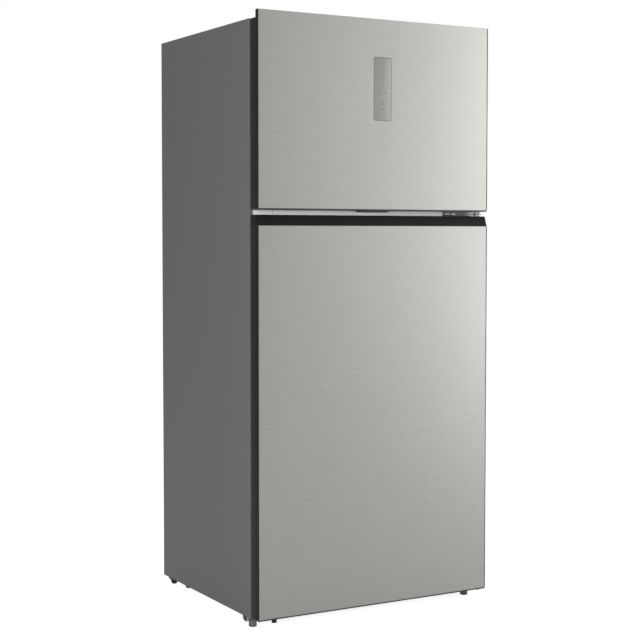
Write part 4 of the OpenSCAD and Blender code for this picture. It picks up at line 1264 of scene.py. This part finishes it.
def fridge_shelf_heights():
    """Undersides of the four fridge shelves."""
    found = []
    for z in levels_of("fridge_shelves"):
        if not found or z > found[-1] + 60:
            found.append(z)
    return found


# ---- Door insides ----

class REFRIGERATOR_OT_door_liners(bpy.types.Operator):
    """Formed inner sheets of both doors with their rounded dikes and bin ledges"""

    bl_idname = "refrigerator.door_liners"
    bl_label = "Door Liners"

    def execute(self, context):
        radius = size("cavity_radius")
        for side, half, bottom, top in (("freezer", HALF_W - 76, 1222, CAB_TOP - 68),
                                        ("fridge", HALF_W - 64, 107, 1122)):
            low, high = corners(side + "_door_liner")
            sheet = box(low, (high.x, DOOR_BACK, high.z), edge=0.4)
            dike = ring((-half, DOOR_BACK - 1, bottom), (half, high.y, top), 12, radius)
            soften(dike, 4.5, 5, SQUARE, lambda e: min(v.co.y for v in e.verts) > high.y - 1)
            skirt = ring((-half - 4, DOOR_BACK - 0.6, bottom - 4),
                         (half + 4, DOOR_BACK + 2.4, top + 4), 20, radius + 4, 1.2)
            beads = [box((-half + 60, DOOR_BACK - 1, z - 4),
                         (half - 60, DOOR_BACK + 1.2, z + 4), 3.9, "y", 0.9)
                     for z in (bottom + (top - bottom) * share for share in (0.25, 0.5, 0.75))]
            ledges = [box((x - 3.8, DOOR_BACK + 1, lip - 38),
                          (x + 3.8, DOOR_BACK + 33, lip - 30.4), 2.5, "x", 0.8)
                      for _, lip in bin_heights(side + "_door_bins")
                      for x in (15.8 - half, half - 15.8)]
            core_low, core_high = corners(side + "_door_foam")
            core = box((core_low.x + 0.6, FRONT_Y + 1.4, core_low.z + 0.4),
                       (core_high.x - 0.6, low.y + 0.2, core_high.z - 0.4))
            if side == "freezer":
                panel_low, panel_high = corners("control_panel")
                core = carved(core, box((panel_low.x - 1, FRONT_Y, panel_low.z - 1),
                                        panel_high + Vector((1, 1, 1))))
            filling = ring((-half + 2, DOOR_BACK - 3, bottom + 2),
                           (half - 2, high.y - 3, top - 2), 8, radius - 2)
            build(side + "_door_core", "foam", {"foam": [core, filling]},
                  side + "_door_foam", body=side + "_door")
            build(side + "_door_inner", "white_liner",
                  {"white_liner": [sheet, dike, skirt, *beads, *ledges]},
                  side + "_door_liner", body=side + "_door")
        return {"FINISHED"}


def bin_heights(node):
    """Floor and rim of each bin, which stand in the node with wide gaps between."""
    levels = levels_of(node)
    pairs = []
    while levels:
        own = [z for z in levels if z <= levels[0] + 140]
        end = next((k for k in range(2, len(own)) if own[k] - own[k - 1] > 105), len(own))
        pairs.append((own[0], own[end - 1]))
        levels = levels[end:]
    return pairs


class REFRIGERATOR_OT_gaskets(bpy.types.Operator):
    """Magnetic gaskets: a flat foot, a bellows and the magnet's tube"""

    bl_idname = "refrigerator.gaskets"
    bl_label = "Gaskets"

    def execute(self, context):
        for side in ("freezer", "fridge"):
            low, high = corners(side + "_door_gasket")
            rings = [ring((low.x + grow, low.y + start, low.z + grow),
                          (high.x - grow, low.y + end, high.z - grow), width, 5, edge)
                     for grow, start, end, width, edge in (
                         (0, 0, 2.6, 20, 0.8), (4.5, 0, 5.2, 11, 1.6),
                         (2.5, 4.8, 7.4, 12, 1.3))]
            build(side + "_door_seal", "gasket", {"gasket_grey": rings},
                  side + "_door_gasket", body=side + "_door")
        return {"FINISHED"}


class REFRIGERATOR_OT_door_bins(bpy.types.Operator):
    """Clear bins with rounded corners, white rims and hooked ends"""

    bl_idname = "refrigerator.door_bins"
    bl_label = "Door Bins"

    def execute(self, context):
        lug, radius = 8, size("bin_radius")
        for side in ("freezer", "fridge"):
            low, high = corners(side + "_door_bins")
            left, right = low.x + lug, high.x - lug
            clear, rims = [], []
            for foot, lip in bin_heights(side + "_door_bins"):
                clear.append(tray((left, low.y, foot), (right, high.y, lip - 5), 2.2, radius))
                band = box((left, low.y, lip - 9), (right, high.y, lip), radius)
                well = box((left + 3, low.y + 3, lip - 12), (right - 3, high.y - 3, lip + 1),
                           radius - 3)
                rims.append(soften(carved(band, well), 0.8, 3, SQUARE))
                rims += [box((x, low.y, lip - 30), (x + lug + 1, low.y + 30, lip), 3, "x", 1)
                         for x in (low.x, right - 1)]
            build(side + "_bins", "clear_plastic",
                  {"clear_plastic": clear, "white_plastic": rims},
                  side + "_door_bins", body=side + "_door")
        return {"FINISHED"}


# ---- Shelves and drawers ----

def shelf_parts(low, high, z):
    """Glass pane, and its frame of a front trim, a rear stop and side clips."""
    top = z + 10
    pane = box((low.x + 4, low.y + 10, top - 4.4), (high.x - 4, high.y - 8, top - 0.4), 4,
               "z", 0.7)
    frames = [box((low.x, low.y, z), (high.x, low.y + 20, top), 4.5, "x", 0.6),
              box((low.x, high.y - 16, z), (high.x, high.y, top + 6), 3.5, "x", 0.6)]
    frames += [box((x, low.y + 16, z), (x + 9, high.y - 12, top - 0.1), 2.6, "y", 0.5)
               for x in (low.x, high.x - 9)]
    return pane, joined(*frames)


class REFRIGERATOR_OT_shelves(bpy.types.Operator):
    """Toughened glass shelves in white frames"""

    bl_idname = "refrigerator.shelves"
    bl_label = "Shelves"

    def execute(self, context):
        for name, node, heights in (
                ("glass_shelves", "fridge_shelves", fridge_shelf_heights()),
                ("freezer_glass_shelf", "freezer_shelf", [corners("freezer_shelf")[0].z])):
            panes, frames = zip(*(shelf_parts(*corners(node), z) for z in heights))
            build(name, "shelf_glass",
                  {"shelf_glass": list(panes), "white_plastic": list(frames)}, node)
        return {"FINISHED"}


def drawer_parts(low, high, *cutters):
    """Clear drawer with a dipped grip along its front, and its white trims."""
    wall, radius, half = 2.5, size("bin_radius") * 0.7, 70
    pull = box((-half, low.y - 5, high.z - 22), (half, low.y + wall + 3, high.z + 5))
    soften(pull, 10, 6, test=lambda e: along("y")(e) and e.verts[0].co.z < high.z)
    body = carved(tray(low, high, wall, radius, 0.7), pull, *cutters)
    trims = [box((start, low.y - 0.9, high.z - 7), (end, low.y + wall, high.z - 1), 2, "x", 0.6)
             for start, end in ((low.x + radius, -half - 4), (half + 4, high.x - radius))]
    trims.append(box((-half - 8, low.y - 0.9, high.z - 30),
                     (half + 8, low.y + wall, high.z - 22.6), 2.4, "y", 0.6))
    return body, trims


class REFRIGERATOR_OT_drawers(bpy.types.Operator):
    """Chiller and crisper drawers, and the crisper's humidity slider"""

    bl_idname = "refrigerator.drawers"
    bl_label = "Drawers"

    def execute(self, context):
        body, trims = drawer_parts(*corners("chiller_drawer"))
        build("chiller", "clear_plastic", {"smoky_plastic": body, "white_plastic": trims},
              "chiller_drawer", body="chiller_drawer")

        low, high = corners("crisper_drawer")
        x, _, z = middle("humidity_slider")
        body, trims = drawer_parts(low, high, box((x - 32, low.y - 2, z - 3),
                                                  (x + 32, low.y + 6, z + 3)))
        raised, sunk = low.y - 0.15, low.y + 0.5
        trims.append(ring(Vector((x - 36, raised, z - 9.5)), Vector((x + 36, sunk, z + 9.5)),
                          2.2, 5))
        trims += [box((x + step - half, raised, z + 13), (x + step + half, sunk, z + 14.8))
                  for step, half in ((-24, 1.5), (0, 3), (24, 5))]
        build("crisper", "clear_plastic", {"smoky_plastic": body, "white_plastic": trims},
              "crisper_drawer", body="crisper_drawer")

        start, end = corners("humidity_slider")
        knob = box((start.x, start.y + 3, start.z), (end.x, low.y - 0.3, end.z), 2.4, "y", 0.6)
        fin = box((x - 3, start.y, start.z + 0.5), (x + 3, start.y + 4, end.z - 0.5), 1.2, "x",
                  0.5)
        neck = box((start.x + 0.5, low.y - 1, z - 2.4), (end.x - 0.5, end.y - 1, z + 2.4))
        back = box((start.x, end.y - 2, start.z), end, 2.4, "y", 0.5)
        build("vent_slider", "blue_plastic", {"blue_plastic": [knob, fin, neck, back]},
              "humidity_slider", body="humidity_slider")
        return {"FINISHED"}


# ---- Ice maker ----

class REFRIGERATOR_OT_ice_maker(bpy.types.Operator):
    """Twist tray in its housing, with the knob and the bin below"""

    bl_idname = "refrigerator.ice_maker"
    bl_label = "Ice Maker"

    def execute(self, context):
        wall, bore, deck = 4, 5.2, 6
        twist = axis_point("ice_tray_twist")
        low, high = corners("ice_maker_frame")
        shell = box(low, high, 8, "z", 0.9)
        hollow = box((low.x + wall, low.y + wall, low.z - 5), high - Vector((wall,) * 3), 6)
        bores = [bar("y", twist.xz, y - 4, y + 8, bore) for y in (low.y, high.y - wall)]
        windows = [box((x - 3, low.y + 40, low.z + 34), (x + 3, high.y - 40, low.z + 74), 12,
                       "x") for x in (low.x + 2, high.x - 2)]
        housing = carved(carved(shell, hollow), joined(*bores), joined(*windows))
        band = box((low.x + 16, low.y - 0.5, low.z + 8), (high.x - 16, low.y + 1, low.z + 14),
                   2.9, "y", 0.3)
        build("ice_housing", "white_liner",
              {"white_plastic": housing, "blue_plastic": band}, "ice_maker_frame")

        low, high = corners("ice_tray")
        low.y, high.y = low.y + 22, high.y - 17
        cells = []
        across, deep = (high.x - low.x - deck) / 2, (high.y - low.y - deck) / 5
        for column in range(2):
            for row in range(5):
                x, y = low.x + 5 + column * across, low.y + 5 + row * deep
                cell = box((x, y, low.z + 2.5), (x + across - 4, y + deep - 4, high.z + 5), 6)
                foot = [v for v in cell.verts if v.co.z < high.z]
                centre = Vector((x + across / 2 - 2, y + deep / 2 - 2, 0))
                bmesh.ops.scale(cell, vec=(0.82, 0.82, 1), verts=foot,
                                space=Matrix.Translation(-centre))
                cells.append(cell)
        block = soften(carved(box(low, high, 5), joined(*cells)), 0.5, 2, SQUARE)
        journals = [bar("y", twist.xz, start, end, 5, 28)
                    for start, end in ((low.y - 22, low.y + 1), (high.y - 1, high.y + 17))]
        build("twist_tray", "blue_plastic", {"clear_blue": block, "white_plastic": journals},
              "ice_tray", body="ice_tray")

        low, high = corners("ice_tray_knob")
        disc = lathe([(0, 0), (19, 0), (20, 1), (20, 4), (0, 4)],
                     (twist.x, high.y - 4, twist.z), "y", 48)
        grip = box((twist.x - 4, low.y, twist.z - 19), (twist.x + 4, high.y - 3, twist.z + 19),
                   5, "x", 1.2)
        build("twist_knob", "blue_plastic", {"blue_plastic": [disc, grip]},
              "ice_tray_knob", body="ice_tray")

        low, high = corners("ice_bin")
        scoop = bar("y", ((low.x + high.x) / 2, high.z + 24), low.y - 5, low.y + 6, 38, 48)
        build("ice_drawer", "clear_plastic",
              {"smoky_plastic": carved(tray(low, high, 2.5, 9, 0.7), scoop)}, "ice_bin",
              body="ice_bin")
        return {"FINISHED"}


# ---- Cold air ----

class REFRIGERATOR_OT_evaporator_cover(bpy.types.Operator):
    """Rear cover of the freezer with its slots and the guard over the fan"""

    bl_idname = "refrigerator.evaporator_cover"
    bl_label = "Evaporator Cover"

    def execute(self, context):
        low, high = corners("evaporator_cover")
        fan = axis_point("evaporator_fan_spin")
        depth = low.y - 2, high.y + 2
        sheet = box(low, high, size("cavity_radius") * 0.6, "y", 0.6)
        slots = [slit(x, FREEZER_FLOOR + z, 47, 7, depth, 3.4)
                 for z in (14, 28, 42) for x in range(-200, 201, 100)]
        slots += [slit(x, fan.z + z, 70, 7, depth, 3.4)
                  for x in (-190, 190) for z in range(-30, 31, 15)]
        opening = bar("y", fan.xz, *depth, 56, 64)
        guard = [lathe([(55.6, 0), (62, -0.6), (64, -2.6), (61, -4), (56.6, -3.4), (55.6, 0)],
                       (fan.x, low.y + 0.6, fan.z), "y", 64)]
        for radius in (12, 22, 32, 42, 50):
            wire = [(radius + 1.1 * math.cos(a), 1.1 * math.sin(a))
                    for a in (math.tau * k / 8 for k in range(9))]
            guard.append(lathe(wire, (fan.x, low.y - 1, fan.z), "y", 56))
        for index in range(3):
            spoke = turned(box((-57, -0.9, -1.3), (57, 0.9, 1.3), edge=0.4), 60 * index + 30,
                           "Y")
            guard.append(moved(spoke, (fan.x, low.y - 0.2, fan.z)))
        guard.append(lathe([(0, -2.6), (11, -2.2), (12.6, 0), (0, 0)],
                           (fan.x, low.y, fan.z), "y", 40))
        rib = ring((-300, low.y - 0.5, 1290), (300, low.y + 0.5, 1630), 4, 12, 0.4)
        build("freezer_rear_cover", "white_liner",
              {"white_plastic": [carved(sheet, joined(*slots), opening), *guard, rib]},
              "evaporator_cover")
        return {"FINISHED"}


class REFRIGERATOR_OT_evaporator(bpy.types.Operator):
    """Fan with twisted blades, its motor, the finned coil and the heater"""

    bl_idname = "refrigerator.evaporator"
    bl_label = "Evaporator and Fan"

    def execute(self, context):
        low, high = corners("fan_blade")
        fan = axis_point("evaporator_fan_spin")
        fan.y = (low.y + high.y) / 2
        half = (high.y - low.y) / 2
        rotor = [lathe([(2.4, -half), (13, -half), (15, 2 - half), (15, half), (2.4, half),
                        (2.4, -half)], fan, "y", 40)]
        for index in range(5):
            rotor.append(moved(turned(fan_blade(14, 37), 72 * index, "Y"), fan))
        build("fan_rotor", "black_plastic", {"black_plastic": rotor}, "fan_blade", body="fan")
        for node, finish in (("fan_motor", "grey_plastic"), ("evaporator", "aluminium"),
                             ("defrost_heater", "screw_steel")):
            dress(node, finish)
        return {"FINISHED"}


def fan_blade(root, span):
    """One blade, twisted and cambered along its span, that stands up from the axis."""
    blade = bmesh.new()
    bmesh.ops.create_grid(blade, x_segments=5, y_segments=6, size=0.5)
    for vert in blade.verts:
        across, out = vert.co.x, vert.co.y + 0.5
        chord = 15 + 13 * math.sin(math.pi * min(1, out * 0.8 + 0.12))
        pitch = math.radians(46 - 20 * out)
        camber = 2.2 * (1 - 4 * across ** 2)
        vert.co = (across * chord * math.cos(pitch) + 4 * out,
                   across * chord * math.sin(pitch) * 0.78 + camber * 0.6,
                   root + span * out)
    bmesh.ops.solidify(blade, geom=blade.faces[:], thickness=1.2)
    return blade


class REFRIGERATOR_OT_air_duct(bpy.types.Operator):
    """Rear air duct of the fridge with its outlets and lamp, and the ceiling lamp"""

    bl_idname = "refrigerator.air_duct"
    bl_label = "Air Duct and Lamps"

    def execute(self, context):
        low, high = corners("air_duct_cover")
        duct = box(low, high)
        soften(duct, 9, 5, test=lambda e: max(v.co.y for v in e.verts) < low.y + 0.1)
        _, second, third, fourth = fridge_shelf_heights()
        slots = [slit(x, z, 34, 12, (low.y - 2, low.y + 9), 5.9)
                 for z in (second + 120, third + 120, fourth + 60) for x in (-52, 52)]
        lamp = box((-34, low.y - 0.8, third + 30), (34, low.y + 3, third + 96), 10, "y", 0.7)
        rib = ring((low.x + 14, low.y - 0.4, low.z + 16),
                   (high.x - 14, low.y + 0.8, high.z - 16), 3, 9, 0.3)
        build("air_duct", "white_liner",
              {"white_plastic": [carved(duct, *slots), rib], "lamp_cover": lamp},
              "air_duct_cover")
        ceiling = FRIDGE_CEILING - LINER_WALL
        lens = box((-70, -245, ceiling - 5), (70, -200, ceiling + 0.5), 9, "z", 1)
        build("ceiling_lamp", "white_liner", {"lamp_cover": lens})
        return {"FINISHED"}


# ---- Machine room ----

class REFRIGERATOR_OT_machine_room(bpy.types.Operator):
    """Compressor with its weld seam and terminal box, bushes, pipes and tray"""

    bl_idname = "refrigerator.machine_room"
    bl_label = "Machine Room"

    def execute(self, context):
        low, high = corners("compressor")
        x, y, _ = (low + high) / 2
        radius, dome = 72, 34
        foot = low.z + 4
        tall = high.z - foot
        arc = [(dome * math.sin(a), dome * math.cos(a))
               for a in (math.pi / 2 * step / 6 for step in range(7))]
        seam = tall * 0.5
        profile = [(0, 0)] + [(radius - dome + out, dome - up) for out, up in arc]
        profile += [(radius, seam), (radius + 3, seam), (radius + 3, seam + 4),
                    (radius, seam + 4)]
        profile += [(radius - dome + up, tall - dome + out) for out, up in arc] + [(0, tall)]
        shell = lathe(profile, (x, y, foot), steps=64)
        plate = box(low, (high.x, high.y, foot), 16, "z", 1)
        terminal = box((x - 26, y - radius - 18, foot + 42),
                       (x + 26, y - radius + 14, foot + 96), 6, "y", 1.4)
        build("compressor_shell", "compressor_black",
              {"black_enamel": [shell, plate], "black_plastic": terminal}, "compressor")
        dress("compressor_grommets", "rubber")
        dress("refrigerant_pipes", "copper")
        dress("evaporation_tray", "black_plastic")
        return {"FINISHED"}


# Strengths of the white that matt surfaces gather, that polished ones mirror,
# and that the floor adds for the camera and for polished surfaces
AMBIENT_WHITE = 0.24
MIRRORED_WHITE = 0.38
FLOOR_LIFT = 0.8
FLOOR_SHEEN = 0.18


class REFRIGERATOR_OT_stage(bpy.types.Operator):
    """White floor and backdrop, soft lamps and the camera"""

    bl_idname = "refrigerator.stage"
    bl_label = "Stage"

    def execute(self, context):
        scene = context.scene
        scene.view_settings.view_transform = "Standard"
        floor = bmesh.new()
        bmesh.ops.create_grid(floor, x_segments=1, y_segments=1, size=30)
        moved(floor, (0, 0, -0.0005))
        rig.stage(placed("studio_floor", floor, white_ground("studio_floor")))

        world = bpy.data.worlds.new("studio_world")
        scene.world = world
        world.use_nodes = True
        tree = world.node_tree
        backdrop = tree.nodes["Background"]
        backdrop.inputs["Color"].default_value = (1, 1, 1, 1)
        join(tree, backdrop.inputs["Strength"],
             maths(tree, "MAXIMUM", white_level(tree, 1, MIRRORED_WHITE), AMBIENT_WHITE))

        softbox("key_lamp", (4.3, -3.04, 1.3), (0.2, -0.33, 0.8), (1.8, 4.0), 95)
        softbox("fill_lamp", (2.2, -4.4, 2.2), (0.0, -0.33, 1.1), (3.0, 4.0), 29)
        side_lamp = softbox("side_lamp", (-2.9, -2.9, 1.3), (0.0, -0.3, 1.2), (2.4, 0.9), 100)
        side_lamp.visible_glossy = False
        softbox("top_lamp", (0.2, 0.4, 4.4), (0, 0, 0.9), (3.0, 3.0), 9)
        softbox("back_lamp", (1.3, 4.6, 2.4), (0, 0.33, 0.9), (3.0, 3.0), 22)

        camera = bpy.data.cameras.new("camera")
        camera.sensor_width = 36.0
        camera.lens = 80.42
        camera.shift_y = -0.03
        camera.clip_end = 60
        viewer = bpy.data.objects.new("camera", camera)
        scene.collection.objects.link(viewer)
        viewer.location = (-2.1972, -3.8538, 1.1117)
        viewer.rotation_euler = Euler((math.radians(90 - 2.62), 0, math.radians(-29.65)))
        scene.camera = viewer
        return {"FINISHED"}


def white_level(tree, seen, mirrored_share):
    """A brightness for the camera and clear plastics, and one for polished surfaces."""
    path = add(tree, "ShaderNodeLightPath").outputs
    direct = maths(tree, "MAXIMUM", path["Is Camera Ray"], path["Is Transmission Ray"])
    return maths(tree, "MAXIMUM", maths(tree, "MULTIPLY", direct, seen),
                 maths(tree, "MULTIPLY", path["Is Glossy Ray"], mirrored_share))


def white_ground(name):
    """Floor that looks white to the camera but keeps the object's soft shadow."""
    made = bpy.data.materials.new(name)
    made.use_nodes = True
    tree = made.node_tree
    shader = tree.nodes["Principled BSDF"]
    shader.inputs["Base Color"].default_value = (0.9, 0.9, 0.9, 1)
    shader.inputs["Roughness"].default_value = 0.8
    glow = add(tree, "ShaderNodeEmission",
               {"Color": (1, 1, 1, 1), "Strength": white_level(tree, FLOOR_LIFT, FLOOR_SHEEN)})
    both = add(tree, "ShaderNodeAddShader", {0: shader.outputs[0], 1: glow.outputs[0]})
    tree.links.new(both.outputs[0], tree.nodes["Material Output"].inputs["Surface"])
    return made


def softbox(name, place, target, extent, power):
    """Rectangular lamp that faces a target; places in metres, power in watts."""
    lamp = bpy.data.lights.new(name, "AREA")
    lamp.shape = "RECTANGLE"
    lamp.size, lamp.size_y = extent
    lamp.energy = power
    lamp_object = bpy.data.objects.new(name, lamp)
    lamp_object.location = place
    aim = Vector(target) - Vector(place)
    lamp_object.rotation_euler = aim.to_track_quat("-Z", "Y").to_euler()
    bpy.context.scene.collection.objects.link(lamp_object)
    return lamp_object


# ---- Sidebar and run ----

class REFRIGERATOR_PT_sidebar(bpy.types.Panel):
    """Sizes, colours and pieces of the refrigerator"""

    bl_idname = "REFRIGERATOR_PT_sidebar"
    bl_label = "Refrigerator"
    bl_space_type = "VIEW_3D"
    bl_region_type = "UI"
    bl_category = "Refrigerator"

    def draw(self, context):
        layout = self.layout
        for group in (sizes(), colours()):
            column = layout.column(align=True)
            for key in group.__annotations__:
                column.prop(group, key)
        for operator in OPERATORS:
            layout.operator(operator.bl_idname)


OPERATORS = [thing for thing in list(globals().values())
             if isinstance(thing, type) and issubclass(thing, bpy.types.Operator)
             and thing.__module__ == __name__]
CLASSES = [RefrigeratorSizes, RefrigeratorColours, *OPERATORS, REFRIGERATOR_PT_sidebar]


def register():
    for thing in CLASSES:
        bpy.utils.register_class(thing)
    bpy.types.Scene.refrigerator_sizes = PointerProperty(type=RefrigeratorSizes)
    bpy.types.Scene.refrigerator_colours = PointerProperty(type=RefrigeratorColours)


def unregister():
    del bpy.types.Scene.refrigerator_colours
    del bpy.types.Scene.refrigerator_sizes
    for thing in reversed(CLASSES):
        bpy.utils.unregister_class(thing)


def main():
    register()
    for operator in OPERATORS:
        area, call = operator.bl_idname.split(".")
        getattr(getattr(bpy.ops, area), call)()
    measured = {"cad": [list(corner) for corner in CAD_BOX],
                "visual": [list(corner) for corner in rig.bounds()]}
    with open("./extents.json", "w") as sheet:
        json.dump(measured, sheet)


if __name__ == "__main__":
    main()
